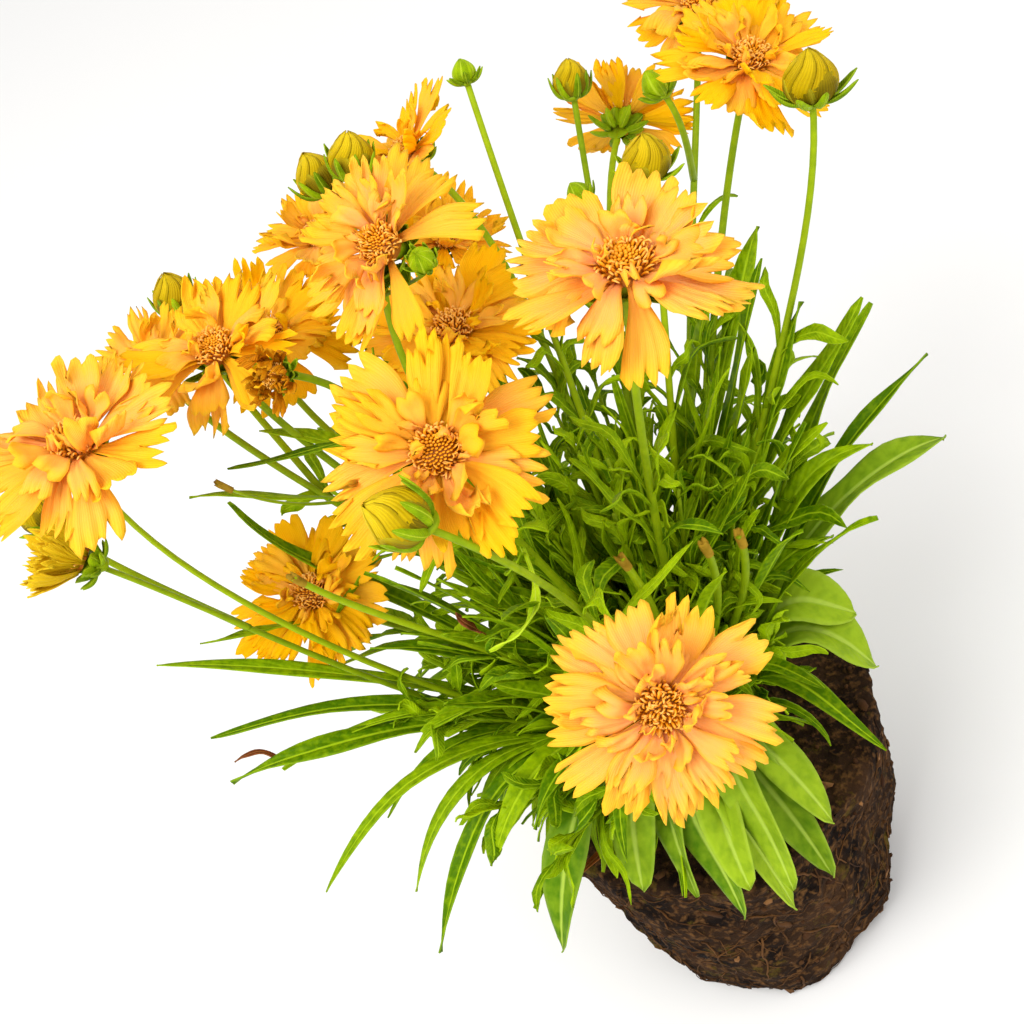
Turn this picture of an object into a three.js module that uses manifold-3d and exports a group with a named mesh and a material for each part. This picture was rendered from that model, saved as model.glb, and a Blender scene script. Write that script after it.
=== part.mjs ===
// A flowering coreopsis (Coreopsis grandiflora, semi-double), lifted out of its pot with its root ball.
// Millimetres, +Z up. The origin is the centre of the root ball's flat base, on which the plant stands.
// The leafy clump with its stems and bracts grew as one piece; each bloom adds its rays and its disc,
// and each fat bud its folded yellow petals. Pieces that meet keep a gap of 0.3 mm.

import * as THREE from 'three';
import { mergeVertices } from 'three/addons/utils/BufferGeometryUtils.js';
import Module from 'manifold-3d';

const wasm = await Module();
wasm.setup();

// ---------------------------------------------------------------- driving dimensions

const GAP = 0.3;

const BALL_HEIGHT = 84;
const BALL_TOP_RADIUS = 58;
const BALL_BASE_RADIUS = 42;
const BALL_SIDES = 24;

const CROWN_RADIUS = 20; // the foot of the clump, in which all shoots stand
const CROWN_DEPTH = 10; // how far it reaches into the soil
const CROWN_RISE = 6; // and above it

const STEM_WIDTH = 2.8;
const STEM_COLLAR = 2; // radius where a stem widens into its head
const LEAF_THICKNESS = 0.7;
const RAY_THICKNESS = 0.7;

// A head is drawn for a bloom of this size across its rays, and scaled to each bloom's own size.
const BLOOM_SIZE = 54;
const HUB_RADIUS = 9.2; // the ring in which the rays' narrow feet stand together
const HUB_HALF = 1; // half its height
const DISC_RADIUS = 7;
const DISC_HEIGHT = 4.4;
const CALYX_RADIUS = 6.4;
const CALYX_HEIGHT = 8;

// Blooms: place of the head's centre, the way it faces as [azimuth, elevation] in degrees, the size
// across its rays, and its form. A stem that leans leaves the crown more outwards than upwards, and
// its neck is the share of it that stands in line with the head, and a bow moves its middle sideways.
// Bloom 5 leaves a gap in its rays, turned to where a small bud pushes through.
const BENT_WITH_GAP = { neck: 0.1, bow: [-27, 9, 0], turn: 112, gap: 4 };
const BLOOMS = [
  { name: 'bloom_01', at: [-10, -82, 196], faces: [-92, 37], size: 54, form: 'full' },
  { name: 'bloom_02', at: [29, -41, 287], faces: [-51, 72], size: 58, form: 'full' },
  { name: 'bloom_03', at: [-29, -36, 262], faces: [-89, 47], size: 55, form: 'full' },
  { name: 'bloom_04', at: [-10, 52, 232], faces: [-68, 64], size: 50, form: 'full' },
  { name: 'bloom_05', at: [-17, 23, 284], faces: [-125, 55], size: 50, form: 'full', ...BENT_WITH_GAP },
  { name: 'bloom_06', at: [2, 93, 267], faces: [163, 61], size: 42, form: 'open' },
  { name: 'bloom_07', at: [-32, 115, 244], faces: [-82, 80], size: 44, form: 'open' },
  { name: 'bloom_08', at: [-70, 40, 270], faces: [-87, 74], size: 48, form: 'open' },
  { name: 'bloom_09', at: [-57, 13, 271], faces: [-131, 42], size: 28, form: 'spent' },
  { name: 'bloom_10', at: [-110, 14, 280], faces: [-41, 77], size: 54, form: 'full', lean: 0.5 },
  { name: 'bloom_11', at: [-86, 44, 176], faces: [-87, 56], size: 48, form: 'full' },
  { name: 'bloom_12', at: [98, 53, 264], faces: [-54, 61], size: 48, form: 'full' },
  { name: 'bloom_13', at: [103, 107, 258], faces: [-60, 70], size: 46, form: 'open' },
  { name: 'bloom_14', at: [71, 119, 228], faces: [51, 10], size: 44, form: 'open' },
  { name: 'bloom_15', at: [-130, 24, 241], faces: [159, 49], size: 36, form: 'cupped', lean: 0.5 },
  { name: 'bloom_16', at: [3, 120, 219], faces: [-42, 58], size: 42, form: 'open' },
  { name: 'bloom_17', at: [-91, 69, 258], faces: [-108, 80], size: 40, form: 'open' },
  { name: 'bloom_18', at: [-59, 82, 241], faces: [-51, 59], size: 48, form: 'open' },
];

// Each form has an outer and an inner whorl of rays: how many of the eight places are taken, length,
// width, rise at the foot and droop towards the tip in degrees, and teeth at the tip.
const FORMS = {
  full: {
    outer: { count: 8, length: 18, width: 12.5, rise: 12, droop: 20, teeth: 3 },
    inner: { count: 6, length: 13, width: 7, rise: 46, droop: 14, teeth: 2 },
  },
  open: {
    outer: { count: 8, length: 18, width: 12, rise: 14, droop: 12, teeth: 2 },
    inner: { count: 4, length: 12, width: 6.5, rise: 44, droop: 12, teeth: 2 },
  },
  cupped: {
    outer: { count: 8, length: 24, width: 9, rise: 52, droop: -14, teeth: 2 },
    inner: { count: 3, length: 18, width: 6, rise: 78, droop: -4, teeth: 2 },
  },
  spent: {
    outer: { count: 8, length: 15, width: 7, rise: 26, droop: -56, teeth: 2 },
    inner: { count: 6, length: 11, width: 5, rise: 66, droop: -8, teeth: 2 },
  },
};

// Buds with folded yellow petals: place of the base, the way they face, width, and how far their
// outer bracts spread from the bud's axis in degrees. A bud with a fork stands on another head's stem.
const BUDS = [
  { name: 'bud_01', at: [101, 17, 271], faces: [30, 75], width: 14, spread: 65 },
  { name: 'bud_02', at: [57, 35, 262], faces: [0, 80], width: 13, spread: 55 },
  { name: 'bud_03', at: [57, 101, 258], faces: [49, 65], width: 11, spread: 28 },
  { name: 'bud_04', at: [-43, -55, 264], faces: [160, 47], width: 15, spread: 28 },
  { name: 'bud_05', at: [-13, 85, 278], faces: [19, 70], width: 13, spread: 28 },
  { name: 'bud_06', at: [-80, 106, 254], faces: [56, 79], width: 13, spread: 28, fork: ['bloom_17', 0.62] },
  { name: 'bud_07', at: [-142, 59, 238], faces: [136, 61], width: 11, spread: 60, fork: ['bloom_15', 0.72] },
  { name: 'bud_08', at: [-24, 100, 270], faces: [100, 67], width: 13, spread: 35, fork: ['bud_05', 0.8] },
];

// Small buds that are still shut in their green bracts.
const GREEN_BUDS = [
  { name: 'green_1', at: [27, 87, 284], faces: [71, 61], width: 7, spread: 60 },
  { name: 'green_2', at: [-10, 11, 282], faces: [-110, 60], width: 7, spread: 30, fork: ['bloom_05', 0.85] },
  { name: 'green_3', at: [77, 82, 254], faces: [112, 54], width: 9, spread: 50, fork: ['bloom_13', 0.7] },
  { name: 'green_4', at: [39, 52, 252], faces: [112, 54], width: 7, spread: 50, fork: ['bud_02', 0.8] },
];

// Stems whose heads were cut off, by the place of their dry tips.
const CUT_STEMS = [
  { name: 'cut_stem_01', at: [-2, -28, 152], faces: [0, 90] },
  { name: 'cut_stem_02', at: [-16, -12, 160], faces: [0, 90] },
  { name: 'cut_stem_03', at: [-84, -10, 226], faces: [-150, 70] },
  { name: 'cut_stem_04', at: [26, 6, 163], faces: [0, 90] },
];

// Large leaves with a place of their own: where the tip is, how high the leaf bows above the straight
// way to it, and how wide its blade is.
const LARGE_LEAVES = [
  { tip: [-134, 31, 190], bow: 14, width: 8 },
  { tip: [-129, 17, 172], bow: 16, width: 8 },
  { tip: [-131, 4, 158], bow: 22, width: 14 },
  { tip: [-117, 8, 150], bow: 26, width: 7 },
  { tip: [-119, -34, 142], bow: 34, width: 9 },
  { tip: [-96, -15, 138], bow: 26, width: 7 },
  { tip: [-97, -33, 118], bow: 38, width: 8 },
  { tip: [-99, -44, 104], bow: 42, width: 10 },
  { tip: [-74, -27, 122], bow: 30, width: 8 },
  { tip: [-73, -12, 98], bow: 34, width: 9 },
  { tip: [-67, -58, 96], bow: 36, width: 15 },
  { tip: [-93, 52, 215], bow: 10, width: 9 },
  { tip: [106, 6, 146], bow: 24, width: 13 },
  { tip: [110, 14, 172], bow: 16, width: 9 },
  { tip: [102, 24, 190], bow: 12, width: 10 },
  { tip: [64, -22, 128], bow: 28, width: 20 },
  { tip: [64, -38, 112], bow: 30, width: 19 },
  { tip: [62, -4, 140], bow: 22, width: 11 },
  { tip: [-16, -68, 84], bow: 34, width: 16 },
  { tip: [-3, -72, 80], bow: 36, width: 13 },
  { tip: [11, -70, 82], bow: 34, width: 15 },
  { tip: [-38, -56, 100], bow: 30, width: 18 },
];

// The other leaves stand round the crown by the golden angle, the young inner ones upright and the
// older outer ones arching over the rim of the root ball.
const CLUMP_LEAVES = 50;
const GOLDEN_ANGLE = 137.508;
const CLUMP_SEED = 9;
// The clump is thinner at its front right: these leaves of the rule are not there.
const LEAVES_LEFT_OUT = [39, 47, 49];

const COLOURS = {
  soil: 0x35241b,
  green: 0x6f9a1c,
  rays: 0xffb836,
  spentRays: 0xc87816,
  disc: 0xc07a18,
  bud: 0xc9a91c,
};

// ---------------------------------------------------------------- helpers

const UP = new THREE.Vector3(0, 0, 1);
const radians = THREE.MathUtils.degToRad;

function seededRandom(seed) {
  let state = seed;
  return () => {
    state = (state * 16807) % 2147483647;
    return state / 2147483647;
  };
}

function direction([azimuth, elevation]) {
  const a = radians(azimuth);
  const e = radians(elevation);
  return new THREE.Vector3(Math.cos(e) * Math.cos(a), Math.cos(e) * Math.sin(a), Math.sin(e));
}

function ring(count, radius, height) {
  return Array.from({ length: count }, (_, i) => {
    const angle = (2 * Math.PI * i) / count;
    return new THREE.Vector3(radius * Math.cos(angle), radius * Math.sin(angle), height);
  });
}

function geometryOf({ points, index }) {
  const geometry = new THREE.BufferGeometry().setFromPoints(points);
  geometry.setIndex(index);
  return geometry;
}

// A closed solid from rings of points round the local Z axis, lowest first. A grower is asked for each
// band and sector, and what it gives grows out of that side's four corners in place of a plain face.
function ringSolid(rings, apex = null, grower = () => null) {
  const sides = rings[0].length;
  const solid = { points: rings.flat(), index: [] };
  const corner = (level, i) => level * sides + (i % sides);
  const topLevel = rings.length - 1;
  for (let i = 1; i + 1 < sides; i += 1) {
    solid.index.push(corner(0, 0), corner(0, i + 1), corner(0, i));
    if (!apex) solid.index.push(corner(topLevel, 0), corner(topLevel, i), corner(topLevel, i + 1));
  }
  if (apex) {
    solid.points.push(apex);
    const top = solid.points.length - 1;
    for (let i = 0; i < sides; i += 1) solid.index.push(top, corner(topLevel, i), corner(topLevel, i + 1));
  }
  for (let band = 0; band < topLevel; band += 1) {
    for (let i = 0; i < sides; i += 1) {
      const corners = [corner(band, i), corner(band, i + 1), corner(band + 1, i + 1), corner(band + 1, i)];
      const growth = grower(band, i);
      if (growth) {
        growth(solid, corners);
      } else {
        const [a, b, c, d] = corners;
        solid.index.push(a, b, c, a, c, d);
      }
    }
  }
  return geometryOf(solid);
}

// A spike from a side's four corners to one tip.
function spike(tip) {
  return (solid, corners) => {
    solid.points.push(tip);
    const end = solid.points.length - 1;
    corners.forEach((a, i) => solid.index.push(a, corners[(i + 1) % 4], end));
  };
}

// Adds a thin blade to a solid. Each row has a centre, a side vector as long as half the width, and a
// normal. The end is a list of points across the tip, teeth and notches in turn, from left to right.
// Both faces are split into triangles alike, so a bent blade keeps its thickness. A blade with a root
// starts from four corners that the solid already has.
function growBlade(solid, rows, end, thickness, root = null) {
  const put = (point, normal) => {
    solid.points.push(point, point.clone().addScaledVector(normal, -thickness));
    return { over: solid.points.length - 2, under: solid.points.length - 1 };
  };
  const left = rows.map((row) => put(row.centre.clone().sub(row.side), row.normal));
  const right = rows.map((row) => put(row.centre.clone().add(row.side), row.normal));
  const tips = end.map((point) => put(point, rows.at(-1).normal));
  if (root) {
    left.unshift(root.left);
    right.unshift(root.right);
  }
  const face = (a, b, c) => solid.index.push(a.over, b.over, c.over, a.under, c.under, b.under);
  const wall = (a, b) => solid.index.push(a.over, a.under, b.under, a.over, b.under, b.over);
  for (let i = 0; i + 1 < left.length; i += 1) {
    face(left[i], right[i], right[i + 1]);
    face(left[i], right[i + 1], left[i + 1]);
  }
  const teeth = tips.filter((_, i) => i % 2 === 0);
  const notches = tips.filter((_, i) => i % 2 === 1);
  const acrossNotches = [right.at(-1), ...notches.slice().reverse()];
  for (let i = 0; i + 1 < acrossNotches.length; i += 1) {
    face(left.at(-1), acrossNotches[i], acrossNotches[i + 1]);
  }
  const valleys = [left.at(-1), ...notches, right.at(-1)];
  teeth.forEach((tooth, i) => face(valleys[i], valleys[i + 1], tooth));
  const rim = [...right, ...tips.slice().reverse(), ...left.slice().reverse()];
  for (let i = 0; i + 1 < rim.length; i += 1) wall(rim[i], rim[i + 1]);
  if (!root) wall(left[0], right[0]);
  return solid;
}

// Moves a geometry drawn round the local Z axis to a head's place, facing its way.
function placed(geometry, { at, faces }, scale = 1) {
  const turn = new THREE.Quaternion().setFromUnitVectors(UP, direction(faces));
  const size = new THREE.Vector3(scale, scale, scale);
  return geometry.applyMatrix4(new THREE.Matrix4().compose(new THREE.Vector3(...at), turn, size));
}

// A closed geometry as a solid that can be joined and cut.
function solidOf(geometry) {
  const bare = geometry.clone();
  bare.deleteAttribute('normal');
  bare.deleteAttribute('uv');
  const merged = mergeVertices(bare, 1e-4);
  return new wasm.Manifold(new wasm.Mesh({
    numProp: 3,
    vertProperties: new Float32Array(merged.attributes.position.array),
    triVerts: new Uint32Array(merged.index.array),
  }));
}

// The largest body of a solid: shut-in hollows are filled and loose scraps dropped.
function largestBody(solid) {
  const { vertProperties, triVerts } = solid.getMesh();
  const parent = Array.from({ length: vertProperties.length / 3 }, (_, i) => i);
  const bodyOf = (vertex) => {
    let i = vertex;
    while (parent[i] !== i) i = parent[i];
    parent[vertex] = i;
    return i;
  };
  for (let t = 0; t < triVerts.length; t += 3) {
    parent[bodyOf(triVerts[t])] = bodyOf(triVerts[t + 1]);
    parent[bodyOf(triVerts[t + 1])] = bodyOf(triVerts[t + 2]);
  }
  const sizes = new Map();
  for (const vertex of triVerts) sizes.set(bodyOf(vertex), (sizes.get(bodyOf(vertex)) ?? 0) + 1);
  const [[largest]] = [...sizes].sort((a, b) => b[1] - a[1]);
  const geometry = new THREE.BufferGeometry();
  geometry.setAttribute('position', new THREE.BufferAttribute(new Float32Array(vertProperties), 3));
  geometry.setIndex(Array.from(triVerts).filter((vertex) => bodyOf(vertex) === largest));
  return geometry;
}

function meshOf(name, geometry, colour, roughness = 0.7) {
  const material = new THREE.MeshStandardMaterial({ color: colour, roughness, metalness: 0 });
  const mesh = new THREE.Mesh(geometry, material);
  mesh.name = name;
  return mesh;
}

// ---------------------------------------------------------------- soil and roots

// The soil keeps the pot's taper, with shallow lumps where roots and bark swell it.
function ballRadius(angle, height) {
  const smooth = BALL_BASE_RADIUS
    + (BALL_TOP_RADIUS - BALL_BASE_RADIUS) * Math.pow(height / BALL_HEIGHT, 0.55);
  return smooth + 1.6 * Math.sin(3 * angle + 0.6) + 1.2 * Math.sin(7 * angle + height / 11);
}

function rootBall() {
  const levels = [[0, 3], [5, 0], [24, 0], [52, 0], [80, 0], [BALL_HEIGHT, 4], [BALL_HEIGHT + 1, 22]];
  const rings = levels.map(([height, inset]) => ring(BALL_SIDES, 1, height).map((spot) => {
    const radius = ballRadius(Math.atan2(spot.y, spot.x), Math.min(height, BALL_HEIGHT)) - inset;
    return new THREE.Vector3(spot.x * radius, spot.y * radius, height);
  }));
  // The crown stands in a plain hole in the top.
  const floor = BALL_HEIGHT - CROWN_DEPTH - GAP;
  const hole = ringSolid([
    ring(12, CROWN_RADIUS + GAP, floor),
    ring(12, CROWN_RADIUS + GAP, BALL_HEIGHT + 2),
  ]);
  return largestBody(solidOf(ringSolid(rings)).subtract(solidOf(hole)));
}

// ---------------------------------------------------------------- the green plant

function crown() {
  return ringSolid([
    ring(12, CROWN_RADIUS, BALL_HEIGHT - CROWN_DEPTH),
    ring(12, CROWN_RADIUS, BALL_HEIGHT + 1),
    ring(12, CROWN_RADIUS * 0.7, BALL_HEIGHT + CROWN_RISE),
  ]);
}

// Shoots stand in the crown the way their tips stand round it, so they fan out without crossing.
function footOf(tip, share) {
  const foot = new THREE.Vector3(tip.x, tip.y, 0).multiplyScalar(share);
  return foot.clampLength(0, CROWN_RADIUS - 6.5).setZ(BALL_HEIGHT + 2);
}

// A leaf rises from the crown on a narrow stalk, bows over and is widest past the middle.
function leaf({ tip, bow, width, twist = 0, rows = [[0, 1.1], [0.42, 0.36 * width], [0.76, 0.5 * width]] }) {
  const end = new THREE.Vector3(...tip);
  const start = footOf(end, 0.18);
  const middle = start.clone().lerp(end, 0.45).addScaledVector(UP, bow * 2);
  const spine = new THREE.QuadraticBezierCurve3(start, middle, end);
  const across = new THREE.Vector3(end.y - start.y, start.x - end.x, 0).normalize();
  const rowAt = (t, half) => {
    const forward = spine.getTangent(t);
    const side = across.clone().applyAxisAngle(forward, radians(twist * t));
    side.addScaledVector(forward, -side.dot(forward)).setLength(half);
    const normal = side.clone().cross(forward).normalize();
    return { centre: spine.getPoint(t), side, normal };
  };
  const sections = rows.map(([t, half]) => rowAt(t, half));
  return geometryOf(growBlade({ points: [], index: [] }, sections, [end], LEAF_THICKNESS));
}

function clumpLeaves() {
  const random = seededRandom(CLUMP_SEED);
  const leaves = [];
  for (let i = 0; i < CLUMP_LEAVES; i += 1) {
    const outward = i / CLUMP_LEAVES;
    const angle = radians(i * GOLDEN_ANGLE + 14 * (random() - 0.5));
    const reach = 22 + 70 * Math.sqrt(outward) + 16 * (random() - 0.5);
    const height = 196 - 92 * outward * outward + 34 * (random() - 0.5);
    const bow = 6 + 24 * outward + 6 * random();
    const width = 6 + 5 * random() + 3 * outward;
    const twist = 70 * (random() - 0.5);
    const shape = { tip: [reach * Math.cos(angle), reach * Math.sin(angle), height], bow, width, twist };
    if (outward < 0.5) shape.rows = [[0, 1.1], [0.62, 0.5 * width]];
    if (!LEAVES_LEFT_OUT.includes(i)) leaves.push(shape);
  }
  return leaves;
}

// A stem leaves the crown steeply, or forks off another stem, and comes up to its head from behind.
function stemCurve(head, below, curves) {
  const facing = direction(head.faces);
  const end = new THREE.Vector3(...head.at).addScaledVector(facing, -below);
  const [parent, at] = head.fork ?? [];
  const start = parent ? curves.get(parent).getPoint(at) : footOf(end, 0.09);
  const span = start.distanceTo(end);
  const outward = new THREE.Vector3(end.x - start.x, end.y - start.y, 0);
  const lean = head.lean ?? (parent ? 0.5 : 0.2);
  const leave = start.clone().addScaledVector(outward, lean).addScaledVector(UP, span * (0.45 - lean / 2));
  const arrive = end.clone().addScaledVector(facing, -span * (head.neck ?? 0.25));
  const bow = new THREE.Vector3(...(head.bow ?? [0, 0, 0]));
  leave.add(bow);
  arrive.add(bow);
  return new THREE.CubicBezierCurve3(start, leave, arrive, end);
}

function stemAlong(curve, steps) {
  const section = new THREE.Shape(ring(3, STEM_WIDTH / 2, 0).map(({ x, y }) => new THREE.Vector2(x, y)));
  return new THREE.ExtrudeGeometry(section, { steps, bevelEnabled: false, extrudePath: curve });
}

// A cup of bracts from rings given as [radius, height]: a narrow green bract grows out of every side of
// the second band to a tip given as [radius, height].
function calyx(sides, levels, bractTip, apex = null) {
  const tips = ring(sides, bractTip[0], bractTip[1]);
  const half = Math.PI / sides;
  const rings = levels.map(([radius, height]) => ring(sides, radius, height));
  return ringSolid(rings, apex, (band, i) => band === 1 && spike(tips[i].applyAxisAngle(UP, half)));
}

function bloomCalyx(bloom) {
  const top = -HUB_HALF - GAP;
  const bottom = top - CALYX_HEIGHT;
  const scale = bloom.size / BLOOM_SIZE;
  const levels = [
    [STEM_COLLAR / scale, bottom],
    [3.8, bottom + 2.4],
    [4.8, bottom + 3.6],
    [CALYX_RADIUS, top],
  ];
  const sides = bloom.form === 'full' ? 8 : 6;
  return placed(calyx(sides, levels, [13.5, bottom + 5]), bloom, scale);
}

// A bud's bracts spread from under it by the given angle, or hug it.
function bractTipOf(bud) {
  const radius = bud.width / 2;
  const spread = radians(bud.spread);
  return [radius * (0.75 + 1.35 * Math.sin(spread)), radius * (1.35 * Math.cos(spread) - 0.45)];
}

function budCalyx(bud) {
  const radius = bud.width / 2;
  const levels = [
    [STEM_COLLAR, -0.95 * radius],
    [0.6 * radius, -0.6 * radius],
    [0.75 * radius, -0.38 * radius],
    [0.85 * radius, -GAP],
  ];
  return placed(calyx(6, levels, bractTipOf(bud)), bud);
}

function greenBud(bud) {
  const radius = bud.width / 2;
  const levels = [
    [STEM_COLLAR, -0.95 * radius],
    [0.65 * radius, -0.6 * radius],
    [0.8 * radius, -0.3 * radius],
    [radius, 0.3 * radius],
    [0.6 * radius, 1.3 * radius],
  ];
  return placed(calyx(6, levels, bractTipOf(bud), new THREE.Vector3(0, 0, radius * 1.6)), bud);
}

function greenPlant() {
  const pieces = [crown()];
  const curves = new Map();
  const addStem = (head, below, steps) => {
    const curve = stemCurve(head, below, curves);
    curves.set(head.name, curve);
    pieces.push(stemAlong(curve, steps));
  };
  for (const bloom of BLOOMS) {
    addStem(bloom, (HUB_HALF + GAP + CALYX_HEIGHT * 0.7) * (bloom.size / BLOOM_SIZE), 6);
    pieces.push(bloomCalyx(bloom));
  }
  for (const bud of BUDS) {
    addStem(bud, bud.width * 0.3, bud.fork ? 4 : 6);
    pieces.push(budCalyx(bud));
  }
  for (const bud of GREEN_BUDS) {
    addStem(bud, bud.width * 0.3, bud.fork ? 4 : 6);
    pieces.push(greenBud(bud));
  }
  for (const stem of CUT_STEMS) addStem(stem, 0, 4);
  pieces.push(...[...LARGE_LEAVES, ...clumpLeaves()].map(leaf));
  return largestBody(pieces.map(solidOf).reduce((whole, next) => whole.add(next)));
}

// ---------------------------------------------------------------- blooms and buds

// A ray grows out of its foot along the sector's middle, rises, and bends over towards its tip.
function ray({ length, width, rise, droop, teeth }, foot, turn) {
  const start = radians(rise);
  const bend = radians(droop);
  const spot = (s, offset) => {
    const angle = start - bend * s;
    const along = (length * (Math.sin(start) - Math.sin(angle))) / bend;
    const above = (length * (Math.cos(angle) - Math.cos(start))) / bend;
    return new THREE.Vector3(foot.radius + along, offset, foot.height + above).applyAxisAngle(UP, turn);
  };
  const half = width / 2;
  const rowAt = (s, spread) => {
    const angle = start - bend * s;
    return {
      centre: spot(s, 0),
      side: new THREE.Vector3(0, -half * spread, 0).applyAxisAngle(UP, turn),
      normal: new THREE.Vector3(-Math.sin(angle), 0, Math.cos(angle)).applyAxisAngle(UP, turn),
    };
  };
  const ends = {
    2: [[0.97, 0.55], [0.84, 0], [1, -0.5]],
    3: [[0.93, 0.72], [0.84, 0.34], [1, 0], [0.85, -0.34], [0.95, -0.7]],
  };
  const rows = teeth === 3 ? [rowAt(0.38, 0.82), rowAt(0.72, 1)] : [rowAt(0.7, 1)];
  const end = ends[teeth].map(([s, across]) => spot(s, across * half));
  return (solid, [a, b, c, d]) => {
    growBlade(solid, rows, end, RAY_THICKNESS, { left: { over: c, under: b }, right: { over: d, under: a } });
  };
}

// The rays of a bloom stand in a flat ring of sixteen sides: the outer whorl grows out of every other
// side of its lower band, and the inner whorl out of the sides between them, of its upper band.
function rays(bloom, seed) {
  const { outer, inner } = FORMS[bloom.form];
  const random = seededRandom(seed);
  const scale = bloom.size / BLOOM_SIZE;
  const rings = [
    ring(16, HUB_RADIUS - 0.2, -HUB_HALF),
    ring(16, HUB_RADIUS, 0),
    ring(16, HUB_RADIUS - 1.2, HUB_HALF),
  ];
  const grower = (band, i) => {
    const whorl = band === 0 ? outer : inner;
    const place = Math.floor(i / 2);
    const taken = Math.floor(((place + 1) * whorl.count) / 8) > Math.floor((place * whorl.count) / 8);
    const open = place === bloom.gap || (band === 1 && place === bloom.gap - 1);
    if (i % 2 !== band || !taken || open) return null;
    const foot = { radius: band === 0 ? HUB_RADIUS : HUB_RADIUS - 1.2, height: band * HUB_HALF };
    const turn = (Math.PI * (i + 0.5)) / 8 + 0.12 * (random() - 0.5);
    const rise = whorl.rise + 10 * (random() - 0.5);
    const length = whorl.length * (0.93 + 0.12 * random());
    return ray({ ...whorl, rise, length }, foot, turn);
  };
  return placed(ringSolid(rings, null, grower).rotateZ(radians(bloom.turn ?? 0)), bloom, scale);
}

// The disc: a dome whose rings of florets stand out as points and pits in turn.
function disc(bloom) {
  const base = HUB_HALF + GAP;
  const relief = (points, height) => points.map((point, i) => {
    const out = i % 2 === 0 ? height : -height;
    const moved = point.clone().multiplyScalar(1 + (out / 2) / Math.hypot(point.x, point.y));
    return moved.setZ(point.z + out);
  });
  const rings = [
    ring(10, DISC_RADIUS, base),
    relief(ring(10, DISC_RADIUS, base + 1.6), 0.6),
    relief(ring(10, DISC_RADIUS * 0.6, base + DISC_HEIGHT * 0.8), -0.8),
  ];
  const top = new THREE.Vector3(0, 0, base + DISC_HEIGHT);
  return placed(ringSolid(rings, top), bloom, bloom.size / BLOOM_SIZE);
}

// A bud's folded petals: an egg, fluted where the petals lie side by side.
function budPetals(bud) {
  const radius = bud.width / 2;
  const levels = [[0.72, 0], [1, 0.75], [0.72, 1.35]];
  const rings = levels.map(([r, z]) => ring(8, radius * r, radius * z).map((point, i) => {
    const flute = i % 2 === 0 ? 1 : 0.88;
    return new THREE.Vector3(point.x * flute, point.y * flute, point.z);
  }));
  return placed(ringSolid(rings, new THREE.Vector3(0, 0, radius * 1.75)), bud);
}

// ---------------------------------------------------------------- the plant

const coreopsis = new THREE.Group();
coreopsis.add(meshOf('root_ball', rootBall(), COLOURS.soil, 0.95));
coreopsis.add(meshOf('stems_and_leaves', greenPlant(), COLOURS.green, 0.6));
BLOOMS.forEach((bloom, i) => {
  const colour = bloom.form === 'spent' ? COLOURS.spentRays : COLOURS.rays;
  coreopsis.add(meshOf(`${bloom.name}_rays`, rays(bloom, 101 + i), colour));
  coreopsis.add(meshOf(`${bloom.name}_disc`, disc(bloom), COLOURS.disc, 0.85));
});
for (const bud of BUDS) coreopsis.add(meshOf(`${bud.name}_petals`, budPetals(bud), COLOURS.bud));

export default coreopsis;
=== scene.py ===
# %% [markdown]
# # A flowering coreopsis, lifted with its root ball
#
# The plant is soil held by roots, a leafy clump with its stems, and yellow-orange blooms. Its pieces
# are thin and bent, and hardly two are alike, so nearly all of them come from one idea: a flat grid
# of faces is bent by a formula, and the formula's numbers are drawn anew for each petal and leaf.
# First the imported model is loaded. It gives the place and size of everything that follows.

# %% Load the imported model
import math
import random

import bmesh
import bpy
from mathutils import Matrix, Quaternion, Vector, noise


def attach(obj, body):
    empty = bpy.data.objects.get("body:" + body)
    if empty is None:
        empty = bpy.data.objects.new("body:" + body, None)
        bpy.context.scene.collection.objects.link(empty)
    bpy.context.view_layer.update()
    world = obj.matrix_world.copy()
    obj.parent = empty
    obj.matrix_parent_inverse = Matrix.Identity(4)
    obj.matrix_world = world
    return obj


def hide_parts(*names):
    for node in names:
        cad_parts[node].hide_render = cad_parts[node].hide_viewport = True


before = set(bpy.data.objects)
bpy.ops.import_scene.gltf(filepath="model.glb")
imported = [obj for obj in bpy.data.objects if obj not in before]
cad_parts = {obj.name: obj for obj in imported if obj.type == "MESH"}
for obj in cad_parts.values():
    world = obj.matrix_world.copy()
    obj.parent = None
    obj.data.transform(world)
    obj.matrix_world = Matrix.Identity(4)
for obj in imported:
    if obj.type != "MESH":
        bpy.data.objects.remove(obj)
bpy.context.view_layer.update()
MM = 0.001  # sizes below are millimetres, and the meshes are metres
UP = Vector((0, 0, 1))
print("loaded", len(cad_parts), "nodes")

# %% [markdown]
# ## Camera
# The plant is seen from above its front, with the camera rolled, so that the stems lean to the left.
# The roll is on the camera and not on the plant, which stands upright in every other view.

# %% Camera
CAMERA_PLACE = Vector((-19.8, -362.2, 508.0))
CAMERA_HEIGHT_ANGLE = 40  # degrees above the horizon
CAMERA_ROLL = 28

camera = bpy.data.objects.new("camera", bpy.data.cameras.new("camera"))
bpy.context.scene.collection.objects.link(camera)
camera.data.lens = 60
camera.data.sensor_width = 36
camera.matrix_world = (
    Matrix.Translation(CAMERA_PLACE * MM)
    @ Matrix.Rotation(math.radians(90 - CAMERA_HEIGHT_ANGLE), 4, "X")
    @ Matrix.Rotation(math.radians(-CAMERA_ROLL), 4, "Z")
)
bpy.context.scene.camera = camera
print("camera", [round(c, 3) for c in camera.location], "lens", camera.data.lens)

# %% [markdown]
# ## Colours and nodes
# Every colour is written as the sRGB hex value that the eye sees, and one function turns it to the
# linear numbers that a shader works with. A second function adds a node with its settings and links.


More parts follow.
